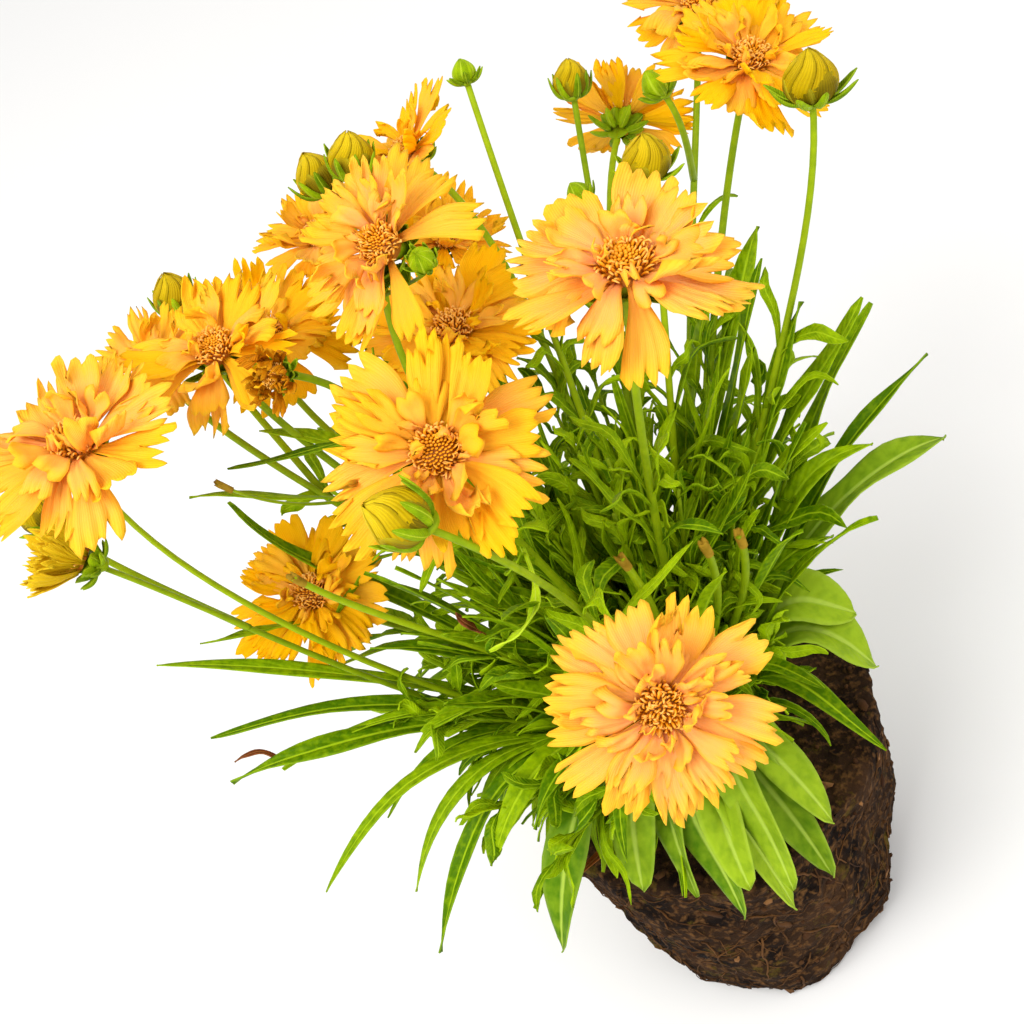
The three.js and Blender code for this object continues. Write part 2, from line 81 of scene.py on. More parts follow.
# %% Colour and node helpers
def linear(hex_colour):
    """The linear colour of an sRGB hex value such as "FFB347"."""
    channels = [int(hex_colour[i : i + 2], 16) / 255 for i in (0, 2, 4)]
    return [c / 12.92 if c <= 0.04045 else ((c + 0.055) / 1.055) ** 2.4 for c in channels] + [1]


def add_node(tree, kind, inputs=None, **settings):
    """Adds a shader node. Inputs are given by name or number, as values or as sockets to link."""
    node = tree.nodes.new("ShaderNode" + kind)
    for name, value in settings.items():
        setattr(node, name, value)
    for key, value in (inputs or {}).items():
        if isinstance(value, bpy.types.NodeSocket):
            tree.links.new(value, node.inputs[key])
        else:
            node.inputs[key].default_value = value
    return node


def new_material(name, inputs):
    """A material, its tree and its Principled shader, with the inputs that are the same all over."""
    material = bpy.data.materials.new(name)
    material.use_nodes = True
    tree = material.node_tree
    tree.nodes.clear()
    shader = add_node(tree, "BsdfPrincipled", inputs)
    add_node(tree, "OutputMaterial", {"Surface": shader.outputs[0]})
    return material, tree, shader


COLOUR = {"data_type": "RGBA"}  # a Mix node with these settings takes colours at its sockets 6 and 7
print("helpers ready")

# %% [markdown]
# ## Floor and light
# The plant stands on a plain pale floor under soft studio light: a bright even sky, with one large
# lamp above the camera's left. Petals are thin and close together, so soft light from all round lets
# the light that they pass on to each other give the deep orange in their folds.

# %% Floor, sky and lamps
FLOOR_HALF = 6.0  # metres
SKY_STRENGTH = 0.85
LAMPS = [  # place in metres, width in metres, power in watts
    {"name": "key", "at": (-0.7, -0.6, 1.3), "width": 0.9, "power": 17},
    {"name": "fill", "at": (0.9, -0.8, 0.9), "width": 1.0, "power": 5},
]

board = {"Base Color": linear("F4F3F1"), "Roughness": 0.9}
studio_board, tree, shader = new_material("matt_white_studio_board", board)
bm = bmesh.new()
bmesh.ops.create_grid(bm, x_segments=1, y_segments=1, size=FLOOR_HALF)
mesh = bpy.data.meshes.new("floor")
bm.to_mesh(mesh)
bm.free()
mesh.materials.append(studio_board)
floor = bpy.data.objects.new("floor", mesh)
bpy.context.scene.collection.objects.link(floor)

world = bpy.data.worlds.new("soft_sky")
world.use_nodes = True
sky = world.node_tree.nodes["Background"]
sky.inputs["Color"].default_value = linear("FFFFFF")
sky.inputs["Strength"].default_value = SKY_STRENGTH
bpy.context.scene.world = world

PLANT_MIDDLE = Vector((0, 0, 0.18))
for lamp in LAMPS:
    light = bpy.data.lights.new(lamp["name"], "AREA")
    light.size = lamp["width"]
    light.energy = lamp["power"]
    thing = bpy.data.objects.new(lamp["name"], light)
    thing.location = lamp["at"]
    thing.rotation_euler = (PLANT_MIDDLE - thing.location).to_track_quat("-Z", "Y").to_euler()
    bpy.context.scene.collection.objects.link(thing)
bpy.context.scene.view_settings.view_transform = "Standard"
print("floor, sky and", len(LAMPS), "lamps")

# %% [markdown]
# ## Blades and tubes
# A petal, a leaf and a bract are each one flat grid, bent by a formula that takes u from -1 to 1
# across and v from 0 to 1 along. A stem, a root and a floret are the same grid rolled into a tube,
# whose seam and pinched ends are welded afterwards. The grid brings its own UV map, so veins and
# stripes follow the bent surface, and each blade carries a number called tone for its own shade.


# %% Blade and tube helpers
def new_sheet():
    """An empty mesh with a UV map and a tone for each point."""
    bm = bmesh.new()
    bm.loops.layers.uv.new("UVMap")
    bm.verts.layers.float.new("tone")
    return bm


def add_blade(bm, across, along, shape, tone):
    """Adds a grid of faces, bent by shape(u, v), which gives a point in millimetres."""
    layer = bm.verts.layers.float["tone"]
    grid = bmesh.ops.create_grid(bm, x_segments=across, y_segments=along, size=1, calc_uvs=True)
    for vert in grid["verts"]:
        u, v = vert.co.x, (vert.co.y + 1) / 2
        vert.co = shape(u, v) * MM
        vert[layer] = tone(v) if callable(tone) else tone


def around(angle, radius=1, height=0):
    """The point at an angle round the Z axis, so far out from it and so high."""
    return Vector((radius * math.cos(angle), radius * math.sin(angle), height))


def frames_along(path):
    """The point and the turn of each ring of a tube, turned as little as possible from one to the next."""
    frames = []
    heading = UP
    turn = Quaternion()
    for k, point in enumerate(path):
        ahead = path[min(k + 1, len(path) - 1)] - path[max(k - 1, 0)]
        turn = heading.rotation_difference(ahead) @ turn
        heading = ahead.normalized()
        frames.append((point, turn))
    return frames


def add_tube(bm, path, radii, sides, tone):
    """Adds a tube along a list of points, pinched shut at both ends."""
    path = [path[0], *path, path[-1]]
    radii = [0, *radii, 0]
    rings = frames_along(path)
    last = len(path) - 1

    def shape(u, v):
        k = round(v * last)
        point, turn = rings[k]
        return point + turn @ around(math.pi * (u + 1), radii[k])

    add_blade(bm, sides, last, shape, tone)


def bezier(points, t):
    """The point at t on a Bezier curve of three or four points."""
    while len(points) > 1:
        points = [a.lerp(b, t) for a, b in zip(points, points[1:])]
    return points[0]


def smooth_step(low, high, x):
    """0 below low, 1 above high, and an even S between them."""
    t = min(max((x - low) / (high - low), 0), 1)
    return t * t * (3 - 2 * t)


def add_piece(name, bm, material, nodes, thickness=0):
    """Makes a mesh object that rides on the plant and stands for CAD nodes. Sheets get a thickness."""
    bmesh.ops.remove_doubles(bm, verts=bm.verts, dist=0.002 * MM)
    mesh = bpy.data.meshes.new(name)
    bm.to_mesh(mesh)
    bm.free()
    mesh.shade_smooth()
    mesh.materials.append(material)
    piece = bpy.data.objects.new(name, mesh)
    bpy.context.scene.collection.objects.link(piece)
    if thickness:
        wall = piece.modifiers.new("thickness", "SOLIDIFY")
        wall.thickness = thickness * MM
        wall.offset = -1
    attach(piece, "root")
    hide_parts(*nodes)
    return piece


print("blades and tubes ready")

# %% [markdown]
# ## Where the heads stand
# Each bloom and bud has the place, facing and size that its CAD solid has. It faces along an azimuth
# and an elevation, in degrees. Glow is how orange its petals are, from 0, clear yellow, to 1, deep
# gold. Open is the share of the disc's florets that have opened and curled. Crowd and breadth say how
# many and how broad the rays are, where a bloom differs from the rest. Turn is how far its whorls are
# turned, in degrees, and a gap, counted in eighths of a turn, is where rays are missing. Nod is the way
# that its tired rays hang, with how far, in degrees, and stunted is how much shorter the rays across
# from them are. A bud's spread is how far its narrow bracts stand out, in degrees.
#
# A stem that leans leaves the crown more outwards than upwards. Neck is how much of it runs straight up
# to the head, and bow pushes its middle aside. A fork is the stem that it grows on, and how far up.

# %% Blooms and buds
BLOOMS = [
    {"name": "bloom_01", "at": (-10, -82, 196), "faces": (-92, 37), "size": 54, "form": "full",
     "glow": 0.14, "open": 1.0, "crowd": 1.12, "breadth": 0.93},
    {"name": "bloom_02", "at": (29, -41, 287), "faces": (-51, 72), "size": 57, "form": "full",
     "glow": 0.2, "open": 0.45, "crowd": 0.76, "breadth": 1.15, "turn": 40, "nod": (-108, 34),
     "stunted": 0.25},
    {"name": "bloom_03", "at": (-29, -36, 262), "faces": (-89, 47), "size": 54, "form": "full",
     "glow": 0.62, "open": 0.35, "crowd": 0.92},
    {"name": "bloom_04", "at": (-10, 52, 232), "faces": (-68, 64), "size": 50, "form": "full",
     "glow": 0.9, "open": 1.0, "breadth": 0.95},
    {"name": "bloom_05", "at": (-17, 23, 284), "faces": (-125, 55), "size": 50, "form": "full",
     "glow": 0.42, "open": 0.6, "neck": 0.1, "bow": (-27, 9, 0), "turn": 112, "gap": 4, "crowd": 0.85,
     "breadth": 1.1},
    {"name": "bloom_06", "at": (2, 93, 267), "faces": (163, 61), "size": 42, "form": "open",
     "glow": 0.85, "open": 0.7},
    {"name": "bloom_07", "at": (-32, 115, 244), "faces": (-82, 80), "size": 44, "form": "open",
     "glow": 0.7, "open": 0.6},
    {"name": "bloom_08", "at": (-70, 40, 270), "faces": (-87, 74), "size": 48, "form": "open",
     "glow": 0.72, "open": 0.5, "nod": (-105, 22)},
    {"name": "bloom_09", "at": (-57, 13, 271), "faces": (-131, 42), "size": 28, "form": "spent",
     "glow": 0.5, "open": 1.0},
    {"name": "bloom_10", "at": (-110, 14, 280), "faces": (-41, 77), "size": 54, "form": "full",
     "glow": 0.52, "open": 0.6, "lean": 0.5, "breadth": 1.15, "crowd": 0.82, "nod": (-109, 30)},
    {"name": "bloom_11", "at": (-86, 44, 176), "faces": (-87, 56), "size": 48, "form": "full",
     "glow": 1.0, "open": 0.8},
    {"name": "bloom_12", "at": (98, 53, 264), "faces": (-54, 61), "size": 48, "form": "full",
     "glow": 0.8, "open": 0.8},
    {"name": "bloom_13", "at": (103, 107, 258), "faces": (-60, 70), "size": 46, "form": "open",
     "glow": 0.6, "open": 0.6},
    {"name": "bloom_14", "at": (71, 119, 228), "faces": (51, 10), "size": 44, "form": "open",
     "glow": 0.95, "open": 0.6},
    {"name": "bloom_15", "at": (-130, 24, 241), "faces": (159, 49), "size": 38, "form": "cupped",
     "glow": 0.3, "open": 0.3, "lean": 0.5},
    {"name": "bloom_16", "at": (3, 120, 219), "faces": (-42, 58), "size": 42, "form": "open",
     "glow": 0.75, "open": 0.6},
    {"name": "bloom_17", "at": (-91, 69, 258), "faces": (-108, 80), "size": 40, "form": "open",
     "glow": 0.6, "open": 0.6},
    {"name": "bloom_18", "at": (-59, 82, 241), "faces": (-51, 59), "size": 48, "form": "open",
     "glow": 0.9, "open": 0.8},
]
BUDS = [
    {"name": "bud_01", "at": (101, 17, 271), "faces": (30, 75), "width": 14, "spread": 65},
    {"name": "bud_02", "at": (57, 35, 262), "faces": (0, 80), "width": 13, "spread": 55},
    {"name": "bud_03", "at": (57, 101, 258), "faces": (49, 65), "width": 11, "spread": 28},
    {"name": "bud_04", "at": (-43, -55, 264), "faces": (160, 47), "width": 15, "spread": 28},
    {"name": "bud_05", "at": (-13, 85, 278), "faces": (19, 70), "width": 13, "spread": 28},
    {"name": "bud_06", "at": (-80, 106, 254), "faces": (56, 79), "width": 13, "spread": 28,
     "fork": ("bloom_17", 0.62)},
    {"name": "bud_07", "at": (-142, 59, 238), "faces": (136, 61), "width": 11, "spread": 60,
     "fork": ("bloom_15", 0.72)},
    {"name": "bud_08", "at": (-24, 100, 270), "faces": (100, 67), "width": 13, "spread": 35,
     "fork": ("bud_05", 0.8)},
]
GREEN_BUDS = [
    {"name": "green_1", "at": (27, 87, 284), "faces": (71, 61), "width": 7, "spread": 60},
    {"name": "green_2", "at": (-10, 11, 282), "faces": (-110, 60), "width": 7, "spread": 30,
     "fork": ("bloom_05", 0.85)},
    {"name": "green_3", "at": (77, 82, 254), "faces": (112, 54), "width": 9, "spread": 50,
     "fork": ("bloom_13", 0.7)},
    {"name": "green_4", "at": (39, 52, 252), "faces": (112, 54), "width": 7, "spread": 50,
     "fork": ("bud_02", 0.8)},
]
CUT_STEMS = [
    {"name": "cut_stem_01", "at": (21, -36, 193), "faces": (180, 85)},
    {"name": "cut_stem_02", "at": (0, -30, 197), "faces": (180, 80)},
    {"name": "cut_stem_03", "at": (-79, -8, 226), "faces": (-150, 70), "thin": 0.85},
    {"name": "cut_stem_04", "at": (31, -34, 188), "faces": (0, 90)},
    {"name": "cut_twig", "at": (-86, 18, 246), "faces": (160, 55), "thin": 0.7, "fork": ("bloom_08", 0.62)},
]
BLOOM_SIZE = 54  # the size that every bloom is drawn at, before it takes its own
for bloom in BLOOMS:
    bloom["scale"] = bloom["size"] / BLOOM_SIZE
for bud in BUDS + GREEN_BUDS:
    bud["scale"] = bud["width"] / 2  # a bud is drawn with a radius of 1


def facing(faces):
    """The unit vector that points along an azimuth and an elevation."""
    azimuth, elevation = math.radians(faces[0]), math.radians(faces[1])
    return around(azimuth, math.cos(elevation), math.sin(elevation))


def head_frame(head, scale=1):
    """The matrix that takes a head drawn round the Z axis to its place, facing its way."""
    turn = UP.rotation_difference(facing(head["faces"])).to_matrix().to_4x4()
    return Matrix.Translation(head["at"]) @ turn @ Matrix.Scale(scale, 4)


print(len(BLOOMS), "blooms,", len(BUDS), "buds,", len(GREEN_BUDS), "green buds")

# %% [markdown]
# ## The petals' finish
# A coreopsis petal is thin, satiny and finely veined along its length. It is peach at its foot, where
# it is thickest and lies in shade, then golden, with clear yellow teeth. Light passes through it a
# little, which a share of subsurface scattering gives. The veins run along v of the UV map, one to
# each turn of a sine. The 22 turns in 140 radians make about one to each half millimetre, which is a
# little coarser than real veins, so that they show. A noise makes them wander. Its Scale counts the
# lumps in a metre, so 260 gives lumps of about 4 mm.


# %% Petal material
def petal_material(name, foot, middle, tip, deep, edge, vein, vein_share, crumple, vein_radians=140):
    """Foot, middle, tip: colours along the petal. Deep: what a full tone turns them to."""
    material, tree, shader = new_material(name, {
        "Roughness": 0.55, "IOR": 1.42, "Specular IOR Level": 0.08,
        "Subsurface Weight": 0.18, "Subsurface Radius": (1.0, 0.7, 0.1), "Subsurface Scale": 0.0015,
    })
    uv = add_node(tree, "SeparateXYZ", {0: add_node(tree, "UVMap", uv_map="UVMap").outputs[0]})
    across, along = uv.outputs[0], uv.outputs[1]
    place = add_node(tree, "TexCoord").outputs["Object"]
    tone = add_node(tree, "Attribute", attribute_name="tone").outputs["Fac"]
    wander = add_node(tree, "TexNoise", {"Vector": place, "Scale": 260, "Detail": 2})
    to_middle = add_node(tree, "MapRange", {0: along, 1: 0.08, 2: 0.55}, interpolation_type="SMOOTHSTEP")
    to_tip = add_node(tree, "MapRange", {0: along, 1: 0.62, 2: 1.0}, interpolation_type="SMOOTHSTEP")
    low = add_node(tree, "Mix", {0: to_middle.outputs[0], 6: linear(foot), 7: linear(middle)}, **COLOUR)
    high = add_node(tree, "Mix", {0: to_tip.outputs[0], 6: low.outputs[2], 7: linear(tip)}, **COLOUR)
    toned = add_node(tree, "Mix", {0: tone, 6: high.outputs[2], 7: linear(deep)}, **COLOUR)
    aside = add_node(tree, "Math", {0: across, 1: 0.5}, operation="SUBTRACT")
    off_middle = add_node(tree, "Math", {0: aside.outputs[0]}, operation="ABSOLUTE")
    # Both margins turn to the edge colour. On most petals this is a real yellow or pale margin, and on a
    # bud's folded petals it is painted shade in the folds.
    at_edge = add_node(tree, "MapRange", {0: off_middle.outputs[0], 1: 0.3, 2: 0.5, 3: 0.0, 4: 0.6})
    edged = add_node(tree, "Mix", {0: at_edge.outputs[0], 6: toned.outputs[2], 7: linear(edge)}, **COLOUR)
    shifted = add_node(tree, "Math", {0: wander.outputs[0], 1: 2.2}, operation="MULTIPLY")
    turned = add_node(tree, "Math", {0: across, 1: vein_radians, 2: shifted.outputs[0]},
                      operation="MULTIPLY_ADD")
    wave = add_node(tree, "Math", {0: turned.outputs[0]}, operation="SINE")
    line = add_node(tree, "MapRange", {0: wave.outputs[0], 1: 0.25, 2: 1.0, 3: 0.0, 4: vein_share})
    veined = add_node(tree, "Mix", {0: line.outputs[0], 6: edged.outputs[2], 7: linear(vein)}, **COLOUR)
    tree.links.new(veined.outputs[2], shader.inputs["Base Color"])
    relief = add_node(tree, "Math", {0: wave.outputs[0], 1: 0.5, 2: wander.outputs[0]},
                      operation="MULTIPLY_ADD")
    bump = add_node(tree, "Bump", {"Height": relief.outputs[0], "Strength": crumple, "Distance": 0.0002})
    tree.links.new(bump.outputs[0], shader.inputs["Normal"])
    return material


satin_petal = petal_material("satin_petal", "FFA468", "FFB25C", "FFBE3C", "FFBA00", "FFBC1E", "F09A0A",
                             0.25, 0.35)
young_petal = petal_material("young_petal", "BE9C08", "E8BC10", "F8D026", "D8AA0A", "DEB41A", "A88604",
                             0.35, 0.5)
dried_petal = petal_material("dried_petal", "D87A00", "EC9606", "F6B01A", "C46A00", "C06E00", "8A4000",
                             0.4, 0.8)
print("petal materials ready")

# %% [markdown]
# ## Petals
# The rays stand in whorls, each steeper, shorter and narrower than the one outside it, and the
# innermost are small curled petals that lean over the disc. A ray is a wedge whose tip is cut into
# teeth of unequal length. Between the teeth it is arched, and below the notches it is pleated. No two
# have the same rise, twist, fold or curl, so each draws its own numbers from dice that are seeded by
# the bloom.

# %% Whorls of rays
# Rise at the foot and droop towards the tip are in degrees. Foot is the radius and height where the
# ray starts. Notch is how deep its tip is cut, as a share of its length, and wild is how unruly it is.
WHORLS = {
    "full": [
        {"count": 9, "length": 26.6, "width": 12.6, "rise": 6, "droop": 14, "teeth": 4,
         "foot": (5.2, -0.6), "notch": 0.16, "wild": 1.0},
        {"count": 9, "length": 23.6, "width": 11, "rise": 17, "droop": 20, "teeth": 4,
         "foot": (5.2, 0), "notch": 0.18, "wild": 1.2},
        {"count": 8, "length": 19, "width": 9.4, "rise": 33, "droop": 26, "teeth": 3,
         "foot": (5.3, 0.5), "notch": 0.24, "wild": 1.5},
        {"count": 8, "length": 13.5, "width": 6.6, "rise": 50, "droop": 34, "teeth": 2,
         "foot": (5.3, 1), "notch": 0.2, "wild": 2.1},
        {"count": 5, "length": 8.4, "width": 3.6, "rise": 70, "droop": 30, "teeth": 2,
         "foot": (5.2, 1.4), "notch": 0.2, "wild": 3.2},
    ],
    "open": [
        {"count": 8, "length": 26.5, "width": 14, "rise": 10, "droop": 12, "teeth": 4,
         "foot": (5.2, -0.6), "notch": 0.19, "wild": 1.1},
        {"count": 7, "length": 23.5, "width": 12, "rise": 24, "droop": 16, "teeth": 4,
         "foot": (5.3, 0), "notch": 0.21, "wild": 1.4},
        {"count": 6, "length": 17, "width": 8.6, "rise": 44, "droop": 24, "teeth": 3,
         "foot": (5.3, 0.6), "notch": 0.2, "wild": 1.9},
        {"count": 5, "length": 10, "width": 4.8, "rise": 62, "droop": 30, "teeth": 2,
         "foot": (5.1, 1.2), "notch": 0.18, "wild": 2.6},
    ],
    "cupped": [
        {"count": 9, "length": 25.5, "width": 11, "rise": 46, "droop": -6, "teeth": 4,
         "foot": (5.6, -0.6), "notch": 0.18, "wild": 0.8},
        {"count": 9, "length": 24.5, "width": 9.5, "rise": 55, "droop": -6, "teeth": 3,
         "foot": (4.4, 0), "notch": 0.2, "wild": 0.9},
        {"count": 7, "length": 22, "width": 8, "rise": 66, "droop": -6, "teeth": 3,
         "foot": (3, 0.6), "notch": 0.2, "wild": 1.0},
    ],
    "spent": [
        {"count": 8, "length": 16, "width": 8, "rise": 30, "droop": -40, "teeth": 3,
         "foot": (6, -0.6), "notch": 0.2, "wild": 2.4},
        {"count": 7, "length": 14, "width": 6.5, "rise": 46, "droop": -24, "teeth": 3,
         "foot": (5.4, 0), "notch": 0.2, "wild": 2.8},
        {"count": 6, "length": 11, "width": 5, "rise": 62, "droop": -10, "teeth": 2,
         "foot": (4.8, 1), "notch": 0.2, "wild": 3.0},
    ],
}


def arc(reach, start, bend):
    """How far out and up a curve gets that starts at an angle and bends over by another."""
    if abs(bend) < 1e-3:
        return reach * math.cos(start), reach * math.sin(start)
    end = start - bend
    out = reach * (math.sin(start) - math.sin(end)) / bend
    return out, reach * (math.cos(end) - math.cos(start)) / bend


def toothed_tip(teeth, notch, dice):
    """A function that gives, at u across a ray, how far its tip falls short and how near a notch is."""
    notches = [notch * dice.uniform(0.3, 1.0) * dice.uniform(0.6, 2.2) for _ in range(teeth + 1)]
    shortfalls = [notch * dice.uniform(0, 0.7) for _ in range(teeth)]
    bluntness = dice.uniform(1.2, 2.4)

    def tip_at(u):
        place = (u + 1) / 2 * teeth
        tooth = min(int(place), teeth - 1)
        aside = place - tooth - 0.5
        nearness = 2 * abs(aside)
        return shortfalls[tooth] + nearness**bluntness * notches[tooth + (aside > 0)], nearness

    return tip_at


def ray_shape(matrix, whorl, breadth, nod, dice):
    """The bent form of one ray, as a function of u across and v along. Nod is its extra droop."""
    wild = whorl["wild"]
    length = whorl["length"] * dice.uniform(0.8, 1.05)
    half_width = whorl["width"] * breadth / 2 * dice.uniform(0.75, 1.15)
    start = math.radians(whorl["rise"] - nod * 0.3 + wild * dice.uniform(-11, 11))
    bend = math.radians(whorl["droop"] + nod + wild * dice.uniform(-16, 16))
    twist = math.radians(wild * dice.uniform(-24, 24))
    sideways = wild * dice.uniform(-0.14, 0.14) * length
    cup = dice.uniform(-0.35, 0.7)
    pleat = dice.uniform(0.4, 0.8)
    flick = wild * dice.uniform(-0.1, 0.16) * length
    tip = toothed_tip(whorl["teeth"], whorl["notch"], dice)
    seed = Vector((dice.uniform(0, 99), dice.uniform(0, 99), 0))

    def shape(u, v):
        shortfall, nearness = tip(u)
        out, up = arc(length * v * (1 - shortfall * v * v), start, bend * v)
        angle = start - bend * v
        half = half_width * (0.2 + 0.8 * math.sin(math.pi / 2 * min(v / 0.86, 1)) ** 1.5)
        ruffle = 1.5 * wild * v * noise.noise(seed + Vector((u * 1.1, v * 2.2, 0)))
        crumple = 0.4 * noise.noise(seed + Vector((u * 3.5, v * 5, 7)))
        arch = pleat * v**0.6 * (0.5 - nearness)
        lift = cup * u * u * half * 0.5 + arch + ruffle + crumple + flick * v**4
        tilt = twist * v
        side = u * half * math.cos(tilt) - lift * math.sin(tilt)
        raised = u * half * math.sin(tilt) + lift * math.cos(tilt)
        foot_radius, foot_height = whorl["foot"]
        return matrix @ Vector((
            foot_radius + out - raised * math.sin(angle),
            sideways * v * v - side,
            foot_height + up + raised * math.cos(angle),
        ))

    return shape


# %% [markdown]
# Each blade has four columns of faces to a tooth, which is the fewest that give it a point and a
# notch, and a Solidify modifier then gives all of them the thickness of a petal.

# %% Ray florets of all blooms
PETAL_THICKNESS = 0.28
TOOTH_COLUMNS = 4
PETAL_FINISHES = {"spent": dried_petal, "cupped": young_petal}
NOD_FOCUS = 6  # the higher, the fewer rays hang down with the one that nods
GAP_HALF = 0.8  # half the width of a gap, in eighths of a turn


def add_rays(bm, bloom, dice):
    """All rays of one bloom, whorl by whorl, from the outside in."""
    head = head_frame(bloom, bloom["scale"])
    tilt_way, tilt = dice.uniform(0, 2 * math.pi), dice.uniform(2, 9)
    nod_way, nod_most = bloom.get("nod", (0, 0))
    for level, whorl in enumerate(WHORLS[bloom["form"]]):
        count = round(whorl["count"] * bloom.get("crowd", 1))
        for i in range(count):
            share = (i + 0.25 + 0.5 * (level % 2)) / count
            in_gap = "gap" in bloom and abs(share * 8 - 0.25 - bloom["gap"]) < GAP_HALF
            yaw = 2 * math.pi * share + math.radians(bloom.get("turn", 0))
            yaw += dice.uniform(-0.1, 0.1) * whorl["wild"]
            towards = math.cos(yaw - math.radians(nod_way))
            nod = nod_most * max(towards, 0) ** NOD_FOCUS + tilt * math.sin(yaw - tilt_way)
            shorter = bloom.get("stunted", 0) * max(-towards, 0)
            drawn = {**whorl, "length": whorl["length"] * (1 - shorter)}
            shape = ray_shape(head @ Matrix.Rotation(yaw, 4, "Z"), drawn, bloom.get("breadth", 1), nod, dice)
            tone = min(max(bloom["glow"] + dice.uniform(-0.3, 0.3) - 0.05 * level, 0), 1)
            if not in_gap:
                add_blade(bm, whorl["teeth"] * TOOTH_COLUMNS, max(11 - level, 7), shape, tone)


for seed, bloom in enumerate(BLOOMS):
    bm = new_sheet()
    add_rays(bm, bloom, random.Random(100 + seed))
    finish = PETAL_FINISHES.get(bloom["form"], satin_petal)
    piece = add_piece(bloom["name"] + "_ray_florets", bm, finish, [bloom["name"] + "_rays"],
                      PETAL_THICKNESS)
    print(piece.name, len(piece.data.polygons), "faces before thickness")

# %% [markdown]
# ## The disc
# The middle of each bloom is a dome of tiny tubular florets, set by the golden angle as on any daisy.
# Those inside are still shut, like beads. Those outside have opened and curl over, pale at the tip
# and brown at the root. The brown is painted shade, the shade that falls deep between the florets, and
# it is this change along each floret that makes the dome look deep.

# %% Disc florets
wax = {"Roughness": 0.5, "Specular IOR Level": 0.25}
waxy_floret, tree, shader = new_material("waxy_disc_floret", wax)
tone = add_node(tree, "Attribute", attribute_name="tone").outputs["Fac"]
out_of_root_shade = add_node(tree, "MapRange", {0: tone, 1: 0.0, 2: 0.5}, interpolation_type="SMOOTHSTEP")
to_tip = add_node(tree, "MapRange", {0: tone, 1: 0.5, 2: 1.0}, interpolation_type="SMOOTHSTEP")
# A floret's colour follows its tone: brown 8E3E04 at the root is painted shade, the shade between the
# florets, then orange up the tube and pale at the tip.
body = add_node(tree, "Mix", {0: out_of_root_shade.outputs[0], 6: linear("8E3E04"), 7: linear("F2A416")}, **COLOUR)
tip = add_node(tree, "Mix", {0: to_tip.outputs[0], 6: body.outputs[2], 7: linear("FFD27A")}, **COLOUR)
tree.links.new(tip.outputs[2], shader.inputs["Base Color"])

GOLDEN_ANGLE = math.radians(137.508)
DISC_RADIUS = 5.7
DOME_SHARE = 0.95  # how much of the disc's radius the dome under the florets has
DOME_FOOT, DOME_TOP = -1.0, 3.2  # heights of that dome
FLORETS = 150


def add_dome(bm, matrix):
    """The dome that the florets stand on, so that nothing shows through between them. Its low tone gives it
    the brown of the painted shade at the florets' roots.
    """

    def dome(u, v):
        radius = DISC_RADIUS * DOME_SHARE * math.cos(v * math.pi / 2) ** 0.6
        height = DOME_FOOT + (DOME_TOP - DOME_FOOT) * math.sin(v * math.pi / 2)
        return matrix @ around(math.pi * (u + 1), radius, height)

    add_blade(bm, across=20, along=7, shape=dome, tone=0.16)


def floret_path(root, heading, is_open, dice):
    """The points and radii of one floret: a curled tube once it is open, and a bead before."""
    if not is_open:
        height = dice.uniform(1.1, 1.5)
        return [root + heading * height * k for k in (0, 0.6, 0.9, 1)], [0.34, 0.5, 0.44, 0.16]
    height = dice.uniform(1.7, 3.1)
    hook = Vector((dice.uniform(-1, 1), dice.uniform(-1, 1), 0)) * 1.2
    path = [
        root,
        root + heading * height * 0.5,
        root + heading * height * 0.85 + hook * 0.25,
        root + heading * height + hook * 0.8,
        root + heading * height * 0.84 + hook * 1.35,
    ]
    return path, [0.3, 0.38, 0.36, 0.32, 0.2]


def add_disc(bm, bloom, dice):
    """The dome of one bloom with all its florets."""
    matrix = head_frame(bloom, bloom["scale"])
    add_dome(bm, matrix)
    for i in range(FLORETS):
        ring = math.sqrt((i + 0.5) / FLORETS)
        outward = around(i * GOLDEN_ANGLE)
        root = outward * DISC_RADIUS * DOME_SHARE * ring
        root.z = DOME_FOOT - 0.2 + (DOME_TOP - DOME_FOOT) * (1 - (0.97 * ring) ** 3.3) ** 0.5
        heading = (UP + outward * (0.1 + 0.6 * ring)).normalized()
        is_open = ring + dice.uniform(-0.06, 0.06) > 1 - bloom["open"]
        path, radii = floret_path(root, heading, is_open, dice)
        top = dice.uniform(0.75, 1.0) if is_open else dice.uniform(0.55, 0.72)
        # Each floret's tone runs from the painted shade at its root to its pale tip.
        add_tube(bm, [matrix @ p for p in path], [r * bloom["scale"] for r in radii], sides=5,
                 tone=lambda v, top=top: 0.12 + (top - 0.12) * v**0.7)


for seed, bloom in enumerate(BLOOMS):
    bm = new_sheet()
    add_disc(bm, bloom, random.Random(300 + seed))
    piece = add_piece(bloom["name"] + "_disc_florets", bm, waxy_floret, [bloom["name"] + "_disc"])
print("discs of", FLORETS, "florets, each", len(piece.data.polygons), "faces")

# %% [markdown]
# ## Buds
# A fat bud is a ball of folded petals, drawn out to a point where their tips come together in a small
# tuft. Each petal is a rounded rib with one edge over its neighbour, yellow on the ridge and dark olive
# at its edges, which is painted shade for the fold. Thin brownish bracts clasp its lower half, and
# narrow green bracts spread under it. A ball with painted stripes would look smooth at the edge, so each
# petal and bract is a blade of its own.

# %% Bud materials
# The edge colour, dark olive 6E5A00, is painted shade in the fold where one petal lies over the next.
folded_petal = petal_material("folded_bud_petal", "8A6C00", "C4A400", "F2CE20", "A28400", "6E5A00", "8A6A00",
                              0.34, 0.7, 52)
papery_bract = petal_material("papery_bract", "5A5802", "746202", "B49A0A", "5A5002", "BCB020", "9C7E08",
                              0.3, 0.5, 80)
print("bud materials ready")


# %% Bud petals and clasping bracts
def bud_point(radius, longitude, t):
    """A point on a body that is round below and pointed above, whose tip is at t = 1."""
    if t < 0.5:
        reach, height = math.sin(math.pi * t) ** 0.8, -0.85 * math.cos(math.pi * t)
    else:
        rise = 2 * t - 1
        reach, height = (1 - rise**2.2) ** 0.85, 1.2 * rise
    return radius * around(longitude, reach, height)


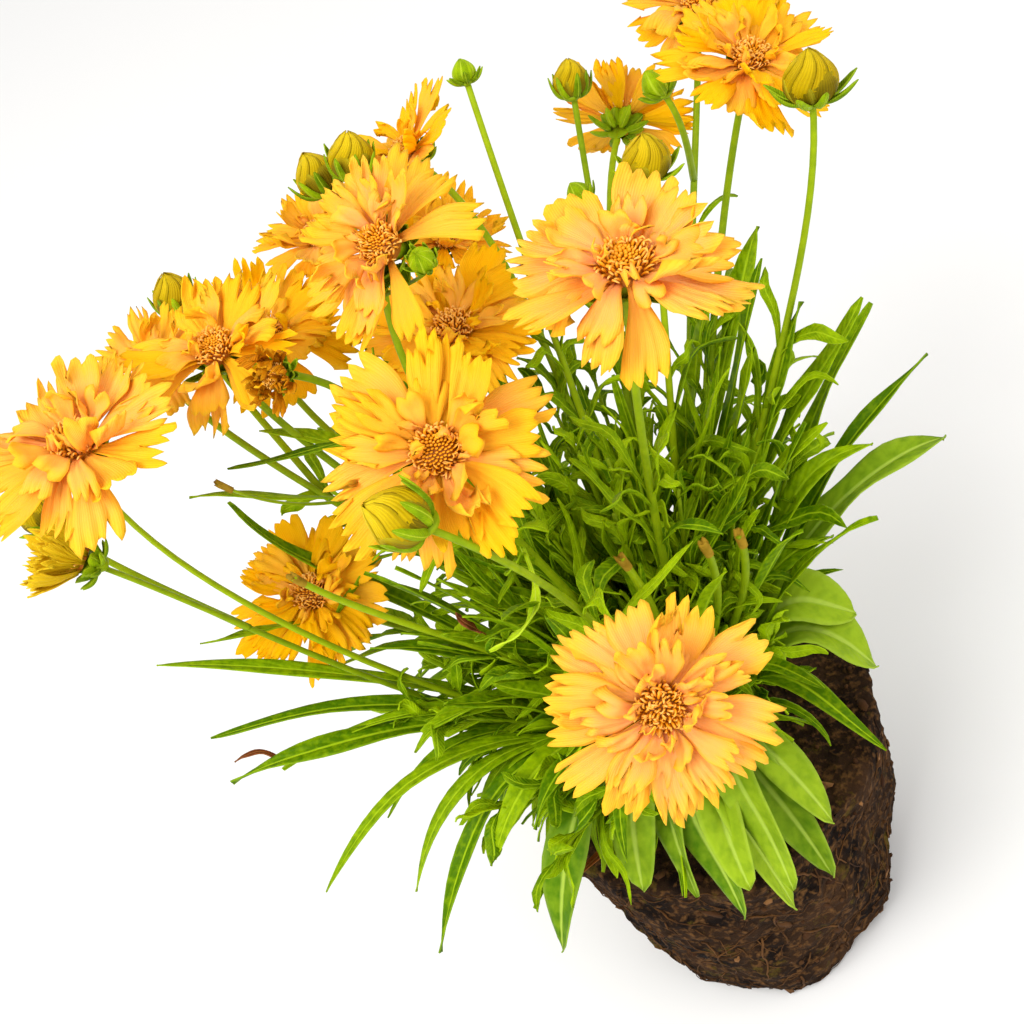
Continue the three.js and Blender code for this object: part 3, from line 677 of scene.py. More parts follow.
def bud_blade(matrix, radius, fold, place, dice):
    """A petal or bract laid on the bud, between two shares of its height, with one edge raised."""
    low, high = fold["span"]
    high *= dice.uniform(1 - fold["uneven"], 1)
    start = 2 * math.pi * (place + dice.uniform(-0.14, 0.14)) / fold["count"]
    spread = math.pi * fold["overlap"] / fold["count"]
    ridge = fold["ridge"] * dice.uniform(0.6, 1.4)
    tuft = fold["tuft"] * dice.uniform(0.3, 1.6)

    def shape(u, v):
        longitude = start + u * spread * math.sqrt(max(1 - v ** fold["taper"], 0)) + fold["swirl"] * v * v
        lift = fold["lift"] * (u + 1) / 2 + ridge * (1 - u * u) * math.sin(math.pi * v)
        point = bud_point(radius, longitude, low + (high - low) * v)
        swollen = 1 + fold["gap"] + lift
        height = point.z + tuft * radius * smooth_step(0.75, 1, v)
        return matrix @ Vector((point.x * swollen, point.y * swollen, height))

    return shape


# Span is the shares of the bud's height between which a blade lies, and uneven is how much its top
# varies. Gap is how far outside the bud it lies, lift how far its one edge is raised, ridge how much it
# is rounded, and tuft how far its tip is drawn out, all as shares of the bud's radius. Swirl is how far
# it turns round the bud on its way up, in radians, and a higher taper keeps it broad for longer.
CORE = {"count": 1, "overlap": 1, "span": (0, 1), "uneven": 0, "gap": -0.1, "swirl": 0, "lift": 0,
        "ridge": 0, "tuft": 0, "taper": 200, "across": 24}
BUD_PETALS = {"count": 9, "overlap": 1.7, "span": (0.12, 1), "uneven": 0.015, "gap": -0.08, "swirl": 1.0,
              "lift": 0.1, "ridge": 0.06, "tuft": 0.1, "taper": 14}
CLASPING = {"count": 5, "overlap": 1.35, "span": (0.05, 0.76), "uneven": 0.12, "gap": -0.02, "swirl": 0.1,
            "lift": 0.05, "ridge": 0.05, "tuft": 0, "taper": 2.8}
SHUT_BRACTS = {"count": 6, "overlap": 1.5, "span": (0.08, 1), "uneven": 0.02, "gap": -0.06, "swirl": 0.3,
               "lift": 0.05, "ridge": 0.06, "tuft": 0.05, "taper": 6}


def add_bud_blades(bm, bud, fold, dice):
    """All petals, or all bracts, of one bud."""
    for place in range(fold["count"]):
        shape = bud_blade(head_frame(bud), bud["scale"], fold, place, dice)
        add_blade(bm, fold.get("across", 8), 12, shape, dice.uniform(0, 0.5))


for seed, bud in enumerate(BUDS):
    bm = new_sheet()
    dice = random.Random(500 + seed)
    add_bud_blades(bm, bud, CORE, dice)
    add_bud_blades(bm, bud, BUD_PETALS, dice)
    piece = add_piece(bud["name"] + "_folded_petals", bm, folded_petal,
                      [bud["name"] + "_petals"], thickness=0.25)
bm = new_sheet()
for seed, bud in enumerate(BUDS):
    add_bud_blades(bm, bud, CLASPING, random.Random(600 + seed))
piece = add_piece("clasping_bracts", bm, papery_bract, ["stems_and_leaves"], thickness=0.3)
print(len(BUDS), "buds;", piece.name, len(piece.data.polygons), "faces")

# %% [markdown]
# ## The greens' finish
# Leaves and stems share one living finish: a waxy skin over chlorophyll, brighter and yellower where
# the growth is young. A leaf has a pale midrib and a pale, faintly hairy margin, so its colour follows
# u of the UV map. Between them the blade is mottled by its cells, in patches of about 2 to 4 mm, and
# by its side veins, which run slantwise from the midrib.


# %% Leaf and stem materials
def leaf_material(name, young, old, rib, mottle_scale):
    """Young and old: the colours at tone 0 and 1. Rib: the midrib's and margin's colour."""
    material, tree, shader = new_material(name, {
        "Roughness": 0.46, "IOR": 1.45, "Specular IOR Level": 0.06,
        "Subsurface Weight": 0.08, "Subsurface Radius": (0.5, 0.8, 0.05), "Subsurface Scale": 0.001,
    })
    uv = add_node(tree, "SeparateXYZ", {0: add_node(tree, "UVMap", uv_map="UVMap").outputs[0]})
    place = add_node(tree, "TexCoord").outputs["Object"]
    tone = add_node(tree, "Attribute", attribute_name="tone").outputs["Fac"]
    off_middle = add_node(tree, "Math", {0: uv.outputs[0], 1: 0.5}, operation="SUBTRACT")
    off_rib = add_node(tree, "Math", {0: off_middle.outputs[0]}, operation="ABSOLUTE")
    at_rib = add_node(tree, "MapRange", {0: off_rib.outputs[0], 1: 0.02, 2: 0.09, 3: 0.75, 4: 0.0},
                      interpolation_type="SMOOTHSTEP")
    at_margin = add_node(tree, "MapRange", {0: off_rib.outputs[0], 1: 0.4, 2: 0.5, 3: 0.0, 4: 0.3})
    pale = add_node(tree, "Math", {0: at_rib.outputs[0], 1: at_margin.outputs[0]}, operation="MAXIMUM")
    mottle = add_node(tree, "TexNoise", {"Vector": place, "Scale": mottle_scale, "Detail": 3})
    slant = add_node(tree, "Math", {0: off_rib.outputs[0], 1: -26, 2: mottle.outputs[0]},
                     operation="MULTIPLY_ADD")
    run = add_node(tree, "Math", {0: uv.outputs[1], 1: 105, 2: slant.outputs[0]}, operation="MULTIPLY_ADD")
    side_vein = add_node(tree, "Math", {0: run.outputs[0]}, operation="SINE")
    uneven = add_node(tree, "Math", {0: side_vein.outputs[0], 1: 0.03, 2: mottle.outputs[0]},
                      operation="MULTIPLY_ADD")
    patch = add_node(tree, "MapRange", {0: uneven.outputs[0], 1: 0.3, 2: 0.7, 3: -0.26, 4: 0.26})
    shade = add_node(tree, "Math", {0: tone, 1: patch.outputs[0]}, operation="ADD", use_clamp=True)
    blade = add_node(tree, "Mix", {0: shade.outputs[0], 6: linear(young), 7: linear(old)}, **COLOUR)
    ribbed = add_node(tree, "Mix", {0: pale.outputs[0], 6: blade.outputs[2], 7: linear(rib)}, **COLOUR)
    tree.links.new(ribbed.outputs[2], shader.inputs["Base Color"])
    quilted = add_node(tree, "Math", {0: side_vein.outputs[0], 1: 0.14, 2: mottle.outputs[0]},
                       operation="MULTIPLY_ADD")
    relief = add_node(tree, "Math", {0: quilted.outputs[0], 1: at_rib.outputs[0]}, operation="SUBTRACT")
    bump = add_node(tree, "Bump", {"Height": relief.outputs[0], "Strength": 0.6, "Distance": 0.0005})
    tree.links.new(bump.outputs[0], shader.inputs["Normal"])
    return material


waxy_leaf = leaf_material("waxy_leaf", "A0BE04", "4C7200", "AECC1C", 420)
green_bract = leaf_material("green_bract", "9CB808", "5E7C02", "B8CC30", 500)
pale_leaf = leaf_material("pale_foot_leaf", "94B020", "4E7606", "B4CC50", 240)
lime_leaf = leaf_material("lime_leaf", "B8D618", "86A608", "D0E450", 420)
dry_leaf = leaf_material("dry_leaf", "9A4E22", "4A2410", "A8703A", 300)

smooth_skin = {"Roughness": 0.45, "Specular IOR Level": 0.1}
green_stem, tree, shader = new_material("smooth_green_stem", smooth_skin)
place = add_node(tree, "TexCoord").outputs["Object"]
tone = add_node(tree, "Attribute", attribute_name="tone").outputs["Fac"]
streak = add_node(tree, "TexNoise", {"Vector": place, "Scale": 300, "Detail": 2})
patch = add_node(tree, "MapRange", {0: streak.outputs[0], 1: 0.3, 2: 0.7, 3: -0.15, 4: 0.15})
shade = add_node(tree, "Math", {0: tone, 1: patch.outputs[0]}, operation="ADD", use_clamp=True)
green = add_node(tree, "Mix", {0: shade.outputs[0], 6: linear("A2B80C"), 7: linear("5A7A02")}, **COLOUR)
tree.links.new(green.outputs[2], shader.inputs["Base Color"])
bump = add_node(tree, "Bump", {"Height": streak.outputs[0], "Strength": 0.3, "Distance": 0.0003})
tree.links.new(bump.outputs[0], shader.inputs["Normal"])
print("leaf and stem materials ready")

# %% [markdown]
# ## Stems
# Every stem rises steeply from the crown and comes up to its head from behind, along the same curve
# that its CAD solid follows. It tapers a little, and swells into a collar under the head, where the
# cup of the bloom or bud begins.

# %% Stem curves
SOIL_TOP = 84
ON_SOIL = SOIL_TOP + 2  # how low a shoot starts, or a leaf rests, so that the crumbs don't bury it
CROWN_RADIUS = 20
FOOT_REACH = CROWN_RADIUS - 6.5  # so that every shoot stands on the crown's flat top
HUB_HALF, GAP, CALYX_HEIGHT = 1, 0.3, 8  # of a bloom of size 54, whose stem ends in its calyx


def foot_of(tip, share):
    """Where a shoot stands in the crown: the way its tip stands round it, so that shoots fan out."""
    foot = Vector((tip[0], tip[1], 0)) * share
    if foot.length > FOOT_REACH:
        foot.length = FOOT_REACH
    foot.z = ON_SOIL
    return foot


def stem_controls(head, below, controls):
    """The four control points of a stem's curve."""
    look = facing(head["faces"])
    end = Vector(head["at"]) - look * below
    parent, share = head.get("fork", (None, 0))
    start = bezier(controls[parent], share) if parent else foot_of(end, 0.09)
    span = (end - start).length
    outward = Vector((end.x - start.x, end.y - start.y, 0))
    lean = head.get("lean", 0.5 if parent else 0.2)
    bow = Vector(head.get("bow", (0, 0, 0)))
    leave = start + outward * lean + UP * span * (0.45 - lean / 2) + bow
    arrive = end - look * span * head.get("neck", 0.25) + bow
    return [start, leave, arrive, end]


STEM_STEPS = 26
STEM_SIDES = 9


def add_stem(bm, head, below, controls, thick=1.35, thin=1.05):
    """A stem that ends below its head. Thick and thin are its radii at its foot and its top."""
    curve = stem_controls(head, below, controls)
    controls[head["name"]] = curve
    path = [bezier(curve, k / STEM_STEPS) for k in range(STEM_STEPS + 1)]
    radii = [thick + (thin - thick) * k / STEM_STEPS for k in range(STEM_STEPS + 1)]
    shade = random.Random(head["name"]).uniform(0.1, 0.55)
    add_tube(bm, path, radii, STEM_SIDES, lambda v: shade + 0.4 * (1 - v) ** 3)


def add_cup(bm, head, profile):
    """The green cup under a head: a tube along its axis, given as pairs of radius and height."""
    matrix, scale = head_frame(head), head["scale"]
    path = [matrix @ Vector((0, 0, height * scale)) for _, height in profile]
    add_tube(bm, path, [radius * scale for radius, _ in profile], sides=16, tone=0.45)


BLOOM_CUP = [(1.9, -9.3), (2.6, -8.4), (4.0, -7.4), (5.2, -5.6), (5.7, -3.2), (5.4, -1.4)]
BUD_CUP = [(0.2, -0.98), (0.4, -0.85), (0.62, -0.68), (0.78, -0.45)]
controls = {}
bm = new_sheet()
for bloom in BLOOMS:
    add_stem(bm, bloom, (HUB_HALF + GAP + CALYX_HEIGHT * 0.7) * bloom["scale"], controls)
    add_cup(bm, bloom, BLOOM_CUP)
for bud in BUDS + GREEN_BUDS:
    add_stem(bm, bud, bud["width"] * 0.3, controls, thick=1.25, thin=0.95)
    add_cup(bm, bud, BUD_CUP)
for stem in CUT_STEMS:
    thinness = stem.get("thin", 1)
    add_stem(bm, stem, 0, controls, thick=1.35 * thinness, thin=1.15 * thinness)
stems = add_piece("stems", bm, green_stem, ["stems_and_leaves"])
print(len(controls), "stems,", len(stems.data.polygons), "faces")

# %% [markdown]
# Where a flower was cut off, the stem has dried back a few millimetres to a brown, ragged end. It is a
# short sleeve over the end of the stem, whose rim rises and falls.

# %% Dry ends of the cut stems
straw = {"Roughness": 0.8, "Specular IOR Level": 0.05}
dry_straw, tree, shader = new_material("dry_stem_straw", straw)
place = add_node(tree, "TexCoord").outputs["Object"]
stain = add_node(tree, "TexNoise", {"Vector": place, "Scale": 500, "Detail": 3})
stained = add_node(tree, "Mix", {0: stain.outputs[0], 6: linear("6A4E06"), 7: linear("C09A30")}, **COLOUR)
tree.links.new(stained.outputs[2], shader.inputs["Base Color"])

DRY_LENGTH = 5.5
JAGS = 12
RIM_AT = 0.75  # the share of the sleeve's grid that is its outside, below the rim


def dry_sleeve(stem, dice):
    """The form of a dry end: up its outside, over the ragged rim and down into the hollow middle."""
    curve = controls[stem["name"]]
    thinness = stem.get("thin", 1)
    heading = (curve[3] - curve[2]).normalized()
    turn = UP.rotation_difference(heading)
    foot = curve[3] - heading * DRY_LENGTH * 0.75
    jags = [dice.uniform(0.7, 1.15) for _ in range(JAGS)]

    def shape(u, v):
        rim = DRY_LENGTH * jags[round((u + 1) * JAGS / 2) % JAGS]
        if v <= RIM_AT:
            radius, height = 1.28 + 0.25 * v, rim * v / RIM_AT
        else:
            radius, height = 1.47 - 5.6 * (v - RIM_AT), rim - 6.4 * (v - RIM_AT)
        return foot + turn @ around(math.pi * (u + 1), thinness * radius, height)

    return shape


dice = random.Random(650)
bm = new_sheet()
for stem in CUT_STEMS:
    add_blade(bm, JAGS, 8, dry_sleeve(stem, dice), 0.5)
piece = add_piece("dry_stem_ends", bm, dry_straw, ["stems_and_leaves"])
print(piece.name, len(piece.data.polygons), "faces")

# %% [markdown]
# ## Bracts
# Under each bloom eight narrow green bracts spread out, and eight broader ones press against the
# backs of the rays. On a bud the narrow ones stand out or hug it. Each is a lance-shaped blade that
# follows a short curve in its own upright plane.


# %% Spreading and pressed bracts
def bract_shape(matrix, angle, route, width, cup):
    """A lance-shaped blade along a curve of (radius, height) points, at an angle round the head."""
    outward = around(angle)
    sideways = outward.cross(UP)
    points = [around(angle, radius, height) for radius, height in route]

    def shape(u, v):
        half = width / 2 * (0.35 + 0.65 * smooth_step(0, 0.35, v)) * math.sqrt(max(1 - v**2.2, 0.001))
        inward = (UP - outward * 0.6) * cup * half * u * u
        return matrix @ (bezier(points, v) + sideways * u * half + inward)

    return shape


BRACTS = 8  # in each of the two circles under a bloom, and under a bud


def add_bracts(bm, head, route, width, dice):
    """One circle of bracts under a head, each along its own variation of the route."""
    matrix = head_frame(head, head["scale"])
    for i in range(BRACTS):
        angle = 2 * math.pi * (i + dice.uniform(-0.15, 0.15)) / BRACTS
        droop = dice.uniform(-1, 1) * 0.06 * route[2][0]
        bent = [route[0], route[1], (route[2][0] * dice.uniform(0.8, 1.05), route[2][1] + droop)]
        add_blade(bm, 4, 8, bract_shape(matrix, angle, bent, width, 0.7), dice.uniform(0.1, 0.9))


SPREADING = [(3.4, -7.4), (8.4, -8.6), (13.2, -4.6)]
PRESSED = [(3.8, -7.0), (7.0, -5.4), (9.6, -1.4)]
bm = new_sheet()
dice = random.Random(700)
for bloom in BLOOMS:
    add_bracts(bm, bloom, SPREADING, 3.0, dice)
    add_bracts(bm, bloom, PRESSED, 5.6, dice)
for bud in BUDS + GREEN_BUDS:
    spread = math.radians(bud["spread"])
    tip = (0.75 + 1.2 * math.sin(spread), 1.2 * math.cos(spread) - 0.55)
    add_bracts(bm, bud, [(0.35, -0.85), (1.15, -0.85), tip], 0.42, dice)
for bud in GREEN_BUDS:
    add_bud_blades(bm, bud, CORE, dice)
    add_bud_blades(bm, bud, SHUT_BRACTS, dice)
bracts = add_piece("bracts", bm, green_bract, ["stems_and_leaves"], thickness=0.35)
print("bracts", len(bracts.data.polygons), "faces")

# %% [markdown]
# ## Leaves
# The leaves are narrow, widest past the middle, folded a little along the midrib and wavy at the
# margin. The broad ones at the foot are blunt and the rest run to a point. Most of the large ones
# follow the curve of a CAD solid. Between them the clump holds many more slender leaves, and the
# flower stems carry pairs of their own, which fill the plant without changing its outline.

# %% Leaf forms
LARGE_LEAVES = [
    {"tip": (-134, 31, 190), "bow": 14, "width": 8},
    {"tip": (-129, 17, 172), "bow": 16, "width": 8},
    {"tip": (-131, 4, 158), "bow": 22, "width": 12.9},
    {"tip": (-117, 8, 150), "bow": 26, "width": 7, "sway": 0},
    {"tip": (-119, -34, 142), "bow": 34, "width": 9},
    {"tip": (-96, -15, 138), "bow": 26, "width": 7},
    {"tip": (-97, -33, 118), "bow": 38, "width": 8},
    {"tip": (-99, -44, 104), "bow": 42, "width": 10},
    {"tip": (-74, -27, 122), "bow": 30, "width": 8},
    {"tip": (-73, -12, 98), "bow": 34, "width": 9},
    {"tip": (-67, -58, 96), "bow": 36, "width": 15},
    {"tip": (-93, 52, 215), "middle": (-78, 62, 168), "width": 9},
    {"tip": (106, 6, 146), "bow": 24, "width": 13},
    {"tip": (110, 14, 172), "bow": 16, "width": 9},
    {"tip": (102, 24, 190), "bow": 12, "width": 10},
    {"tip": (57, -24, 130), "bow": 26, "width": 21, "twist": 8, "tone": 0},
    {"tip": (56, -35, 118), "bow": 27, "width": 21, "twist": -6, "tone": 0.1},
    {"tip": (62, -4, 140), "bow": 22, "width": 11},
    {"tip": (-16, -68, 84), "bow": 34, "width": 15, "twist": 26},
    {"tip": (-3, -72, 80), "bow": 36, "width": 13, "twist": -34},
    {"tip": (11, -70, 82), "bow": 34, "width": 15, "twist": 22},
    {"tip": (-38, -56, 100), "bow": 30, "width": 15, "twist": -16},
    # These have no solid of their own. They fill the clump's front and left.
    {"tip": (2, -75, 94), "bow": 30, "width": 14, "twist": 48},
    {"tip": (19, -64, 98), "bow": 28, "width": 14.5, "twist": -10},
    {"tip": (-27, -60, 92), "bow": 26, "width": 13, "twist": 40},
    {"tip": (-8, -70, 96), "bow": 28, "width": 14, "twist": 10},
    {"tip": (-60, 0, 182), "bow": 10, "width": 10, "twist": 40},
    {"tip": (-52, -12, 190), "bow": 8, "width": 9, "twist": -60},
    {"tip": (-56, 12, 196), "bow": 6, "width": 9, "twist": 30},
    {"tip": (-62, -22, 168), "bow": 12, "width": 10, "twist": -20},
    {"tip": (-46, -26, 176), "bow": 8, "width": 9, "twist": 70},
    {"tip": (-40, -2, 202), "bow": 4, "width": 9, "twist": -50},
    {"tip": (-74, 12, 176), "bow": 12, "width": 10, "twist": 10},
    {"tip": (-66, 26, 188), "bow": 8, "width": 9, "twist": 50},
]
BROAD = 13  # leaves this wide or wider are the pale ones at the foot of the clump
BROAD_SHARE, LONG_SHARE = 0.88, 0.68  # how much of its solid's width a leaf takes, beside its waves
BALL_RIM = 55  # how far out the soil's top edge begins to fall away
RIM_FALL = 8  # how far it falls there for each millimetre outwards


def above_soil(point):
    """The point, lifted out of the root ball if it lies in it, so that leaves rest on the soil."""
    outside = max(math.hypot(point.x, point.y) - BALL_RIM, 0)
    point.z = max(point.z, ON_SOIL - RIM_FALL * outside)
    return point


def leaf_shape(leaf, dice):
    """The bent form of a leaf. Its curve is its own, or the CAD model's for a leaf of that tip."""
    end = leaf["tip"]
    start = leaf.get("start", foot_of(end, 0.18))
    arched = start.lerp(end, 0.45) + UP * leaf.get("bow", 0) * 2
    curve = [start, leaf.get("middle", arched), end]
    level = (end - start).cross(UP).normalized()
    twist = math.radians(leaf.get("twist", 0))
    fold = dice.uniform(0.1, 0.6)
    ripple = dice.uniform(0.05, 0.16) * leaf["width"]
    ripples = dice.uniform(9, 20)
    blunt = leaf.get("blunt", False)
    taper_from = dice.uniform(0.5, 0.76)
    taper = 2.2 if blunt else dice.uniform(1.3, 2.2)
    sway = leaf.get("sway", 6)
    seed = Vector((dice.uniform(0, 99), dice.uniform(0, 99), 0))

    def shape(u, v):
        t = 1 - (1 - v) ** 1.25
        point = bezier(curve, t)
        ahead = (bezier(curve, min(t + 0.02, 1)) - bezier(curve, max(t - 0.02, 0))).normalized()
        side = Quaternion(ahead, twist * t) @ level
        side = (side - ahead * side.dot(ahead)).normalized()
        over = side.cross(ahead)
        wide = 0.25 + 0.75 * smooth_step(0.05, 0.6, t)
        past = max(t - taper_from, 0) / (1 - taper_from)
        half = leaf["width"] / 2 * wide * max(1 - past**taper, 0.002) ** (0.5 if blunt else 0.75)
        drift = noise.noise(seed + Vector((0, t * 1.9, 0))) * sway * t
        lift = noise.noise(seed + Vector((7, t * 1.9, 0))) * sway * t
        wave = ripple * math.sin(ripples * t + 1.3 * u) * u * u
        return above_soil(point + side * (u * half + drift) + over * (fold * abs(u) * half + wave + lift))

    return shape


# %% [markdown]
# The clump's own leaves stand round the crown by the golden angle, the young ones upright in the
# middle and the old ones arching over the rim. The rule draws its numbers as the CAD model does, so
# that each fine leaf lies where its solid is.

# %% The clump's leaves
CLUMP_LEAVES = 50
CLUMP_SEED = 9
LEAVES_LEFT_OUT = (39, 47, 49)
SLENDER_LEAVES = 290


def minimal_standard(seed):
    """The plain random numbers that the CAD model draws, from 0 to 1."""
    state = seed
    while True:
        state = state * 16807 % 2147483647
        yield state / 2147483647


def clump_leaves():
    """The leaves of the CAD model's rule, without those that it leaves out."""
    draws = minimal_standard(CLUMP_SEED)
    leaves = []
    for i in range(CLUMP_LEAVES):
        outward = i / CLUMP_LEAVES
        angle = i * GOLDEN_ANGLE + math.radians(14 * (next(draws) - 0.5))
        reach = 22 + 70 * math.sqrt(outward) + 16 * (next(draws) - 0.5)
        height = 196 - 92 * outward * outward + 34 * (next(draws) - 0.5)
        bow = 6 + 24 * outward + 6 * next(draws)
        width = 6 + 5 * next(draws) + 3 * outward
        twist = 70 * (next(draws) - 0.5)
        tip = around(angle, reach, height)
        if i not in LEAVES_LEFT_OUT:
            leaves.append({"tip": tip, "bow": bow, "width": width * 0.62, "twist": twist})
    return leaves


FRONT_DIP = 50  # how much lower the clump is at its front, where the cut stems stand
LOWEST_TIP = 94  # the clump's leaves end above the root ball, and only the listed ones hang over it
BARE_SIDE = math.radians(-55)  # where the clump ends short of the root ball's rim


def clump_height(reach, angle):
    """How high the clump is there: lower at its edge and front, highest on the right."""
    outward = min(reach / 95, 1)
    front = smooth_step(0.3, 0.95, -math.sin(angle)) * smooth_step(0, 0.3, outward)
    return 214 - 42 * outward**1.5 * (1.1 - 0.9 * math.cos(angle)) - FRONT_DIP * front


def clump_reach(angle):
    """The share of its full reach that the clump has on that side."""
    return 1 - 0.45 * smooth_step(0.2, 0.85, math.cos(angle - BARE_SIDE))


def slender_leaves(dice):
    """Leaves from the crown, upright in the middle of the clump and arching at its edge."""
    leaves = []
    for i in range(SLENDER_LEAVES):
        outward = (i + 0.5) / SLENDER_LEAVES
        angle = i * GOLDEN_ANGLE + 1.3
        reach = (10 + 78 * outward**0.62 * dice.uniform(0.6, 1.0)) * clump_reach(angle)
        height = clump_height(reach, angle) - 30 * outward + dice.uniform(-70, 6)
        tip = around(angle, reach, max(height, LOWEST_TIP))
        width = dice.uniform(2.5, 4.7) + 2.6 * dice.random() ** 4
        leaves.append({
            "tip": tip, "bow": dice.uniform(2, 14) + 14 * outward, "width": width,
            "twist": dice.uniform(-120, 120), "sway": 16,
        })
    return leaves


# %% [markdown]
# Between the flower stems stand leafy shoots that don't flower this time. Shoots and stems carry
# their leaves in opposite pairs, each pair turned against the one below: a shoot up to its tip, and a
# flower stem up to a little past its middle, above which it is bare. It is these short leaves,
# pointing every way, that make the clump look tangled and not like a tuft of grass.

# %% Shoots and leaf pairs
SHOOTS = 48
SHOOT_STEPS = 10
LOWEST_SHOOT = 136  # no shoot ends lower than this
STEM_LEVELS = [0.14 + 0.075 * k for k in range(7)]  # shares of a stem's curve
SHOOT_LEVELS = [0.3 + 0.11 * k for k in range(7)]


def shoot_curve(i, dice):
    """The curve of one shoot, from the crown up to the clump's surface or a little below it."""
    angle = i * GOLDEN_ANGLE + 0.4
    reach = (8 + 72 * ((i + 0.5) / SHOOTS) ** 0.65) * clump_reach(angle)
    height = clump_height(reach, angle) - dice.uniform(4, 45)
    tip = around(angle, reach, max(height, LOWEST_SHOOT))
    foot = foot_of(tip, 0.2)
    return [foot, foot.lerp(tip, 0.5) + UP * dice.uniform(4, 22), tip]


def paired_leaves(curve, levels, shortest, longest, dice):
    """Opposite pairs of leaves at levels along a curve, shorter the higher they stand."""
    leaves = []
    turn = dice.uniform(0, math.pi)
    for level in levels:
        share = level + dice.uniform(-0.03, 0.03)
        foot = bezier(curve, share)
        ahead = (bezier(curve, min(share + 0.03, 1)) - foot).normalized()
        turn += math.pi / 2 + dice.uniform(-0.5, 0.5)
        for way in (0, math.pi):
            aside = Quaternion(ahead, turn + way) @ ahead.orthogonal().normalized()
            length = dice.uniform(shortest, longest) * (1.15 - 0.6 * level)
            spread = dice.uniform(0.2, 0.85)
            droop = dice.uniform(-0.05, 0.35)
            leaves.append({
                "start": foot, "middle": foot + (ahead * 0.55 + aside * spread * 0.35) * length,
                "tip": foot + (ahead * (0.95 - spread * 0.5) + aside * spread - UP * droop) * length,
                "width": dice.uniform(2.4, 4.8), "twist": dice.uniform(-90, 90), "sway": 7,
            })
    return leaves


# %% [markdown]
# A few single leaves are given one by one: those that reach out clear of the clump on its left, the
# broader ones that stand up along its right, and one young lime leaflet that has curled over at the
# front. A few leaves have died and dried to brown.

# %% Single leaves
SINGLE_LEAVES = [
    {"stem": "bloom_08", "share": 0.6, "tip": (-96, 27, 241), "width": 3.6},
    {"stem": "bloom_09", "share": 0.7, "tip": (-85, 36, 236), "width": 2.6},
    {"stem": "bloom_09", "share": 0.55, "tip": (-72, 49, 236), "width": 5.2},
    {"stem": "bloom_11", "share": 0.7, "tip": (-118, 26, 196), "width": 3.4},
    {"stem": "bloom_03", "share": 0.42, "tip": (-34, -46, 214), "width": 4.6},
    {"stem": "bloom_03", "share": 0.4, "tip": (-45, -25, 191), "width": 5, "sway": 0},
    {"stem": "bud_01", "share": 0.3, "tip": (79, 9, 215), "width": 7},
    {"stem": "bud_01", "share": 0.36, "tip": (96, 10, 204), "width": 7.5},
    {"stem": "bloom_12", "share": 0.3, "tip": (76, 22, 224), "width": 6.5},
    {"stem": "bloom_12", "share": 0.36, "tip": (84, 52, 214), "width": 7},
    {"stem": "bloom_12", "share": 0.24, "tip": (62, 12, 206), "width": 7},
    {"stem": "bloom_13", "share": 0.3, "tip": (66, 46, 216), "width": 6.5},
    {"stem": "bud_02", "share": 0.4, "tip": (52, -2, 214), "width": 6.5},
    {"stem": "bud_02", "share": 0.3, "tip": (70, -8, 186), "width": 7},
    {"stem": "bloom_02", "share": 0.3, "tip": (44, -22, 198), "width": 6},
]
CURLED_LEAFLET = {"stem": "bloom_03", "share": 0.6, "middle": (-24, -46, 196), "tip": (-43, -34, 195),
                  "width": 4.4, "sway": 4, "twist": 60}
DRY_LEAVES = [  # the first two are the dried ends of green leaves
    {"start": (-111, 7.6, 151.5), "tip": (-127, 12, 161), "width": 1.8},
    {"start": (-42, -23, 189), "tip": (-47, -20, 198), "width": 2.6},
    {"tip": (-58, -40, 100), "width": 3.8}, {"tip": (30, 62, 98), "width": 4.2},
    {"tip": (-20, 66, 96), "width": 3.6},
]


def single_leaf(leaf):
    """The leaf, set on its stem, with a slight arch unless it has a middle of its own."""
    start = bezier(controls[leaf["stem"]], leaf["share"])
    middle = start.lerp(Vector(leaf["tip"]), 0.5) + UP * 3
    return {"middle": middle, "sway": 3, **leaf, "start": start}


# %% All leaves
def make_leaves(name, leaves, finish, tones, across, along, dice):
    """Makes one piece of many leaves, each a grid with so many faces across and along."""
    bm = new_sheet()
    for leaf in leaves:
        vectors = {key: Vector(leaf[key]) for key in ("start", "middle", "tip") if key in leaf}
        tone = dice.uniform(*tones)
        add_blade(bm, across, along, leaf_shape({**leaf, **vectors}, dice), leaf.get("tone", tone))
    piece = add_piece(name, bm, finish, ["stems_and_leaves"], thickness=0.4)
    print(name, len(leaves), "leaves,", len(piece.data.polygons), "faces")


dice = random.Random(900)
broad_leaves, long_leaves = [], []
for leaf in LARGE_LEAVES:
    blunt = leaf["width"] >= BROAD
    width = leaf["width"] * (BROAD_SHARE if blunt else LONG_SHARE)
    (broad_leaves if blunt else long_leaves).append({**leaf, "width": width, "blunt": blunt})
make_leaves("broad_leaves", broad_leaves, pale_leaf, (0, 0.9), 8, 20, dice)
make_leaves("long_leaves", long_leaves, waxy_leaf, (0.5, 1), 6, 20, dice)
make_leaves("clump_leaves", clump_leaves(), waxy_leaf, (0.35, 1), 6, 16, dice)
make_leaves("slender_leaves", slender_leaves(dice), waxy_leaf, (0.15, 1), 4, 14, dice)

leaves = [single_leaf(leaf) for leaf in SINGLE_LEAVES]
for head in BLOOMS + [bud for bud in BUDS + GREEN_BUDS if "fork" not in bud]:
    levels = STEM_LEVELS[:3] if "lean" in head else STEM_LEVELS
    leaves += paired_leaves(controls[head["name"]], levels, 24, 52, dice)
make_leaves("stem_leaves", leaves, waxy_leaf, (0.1, 0.95), 2, 10, dice)

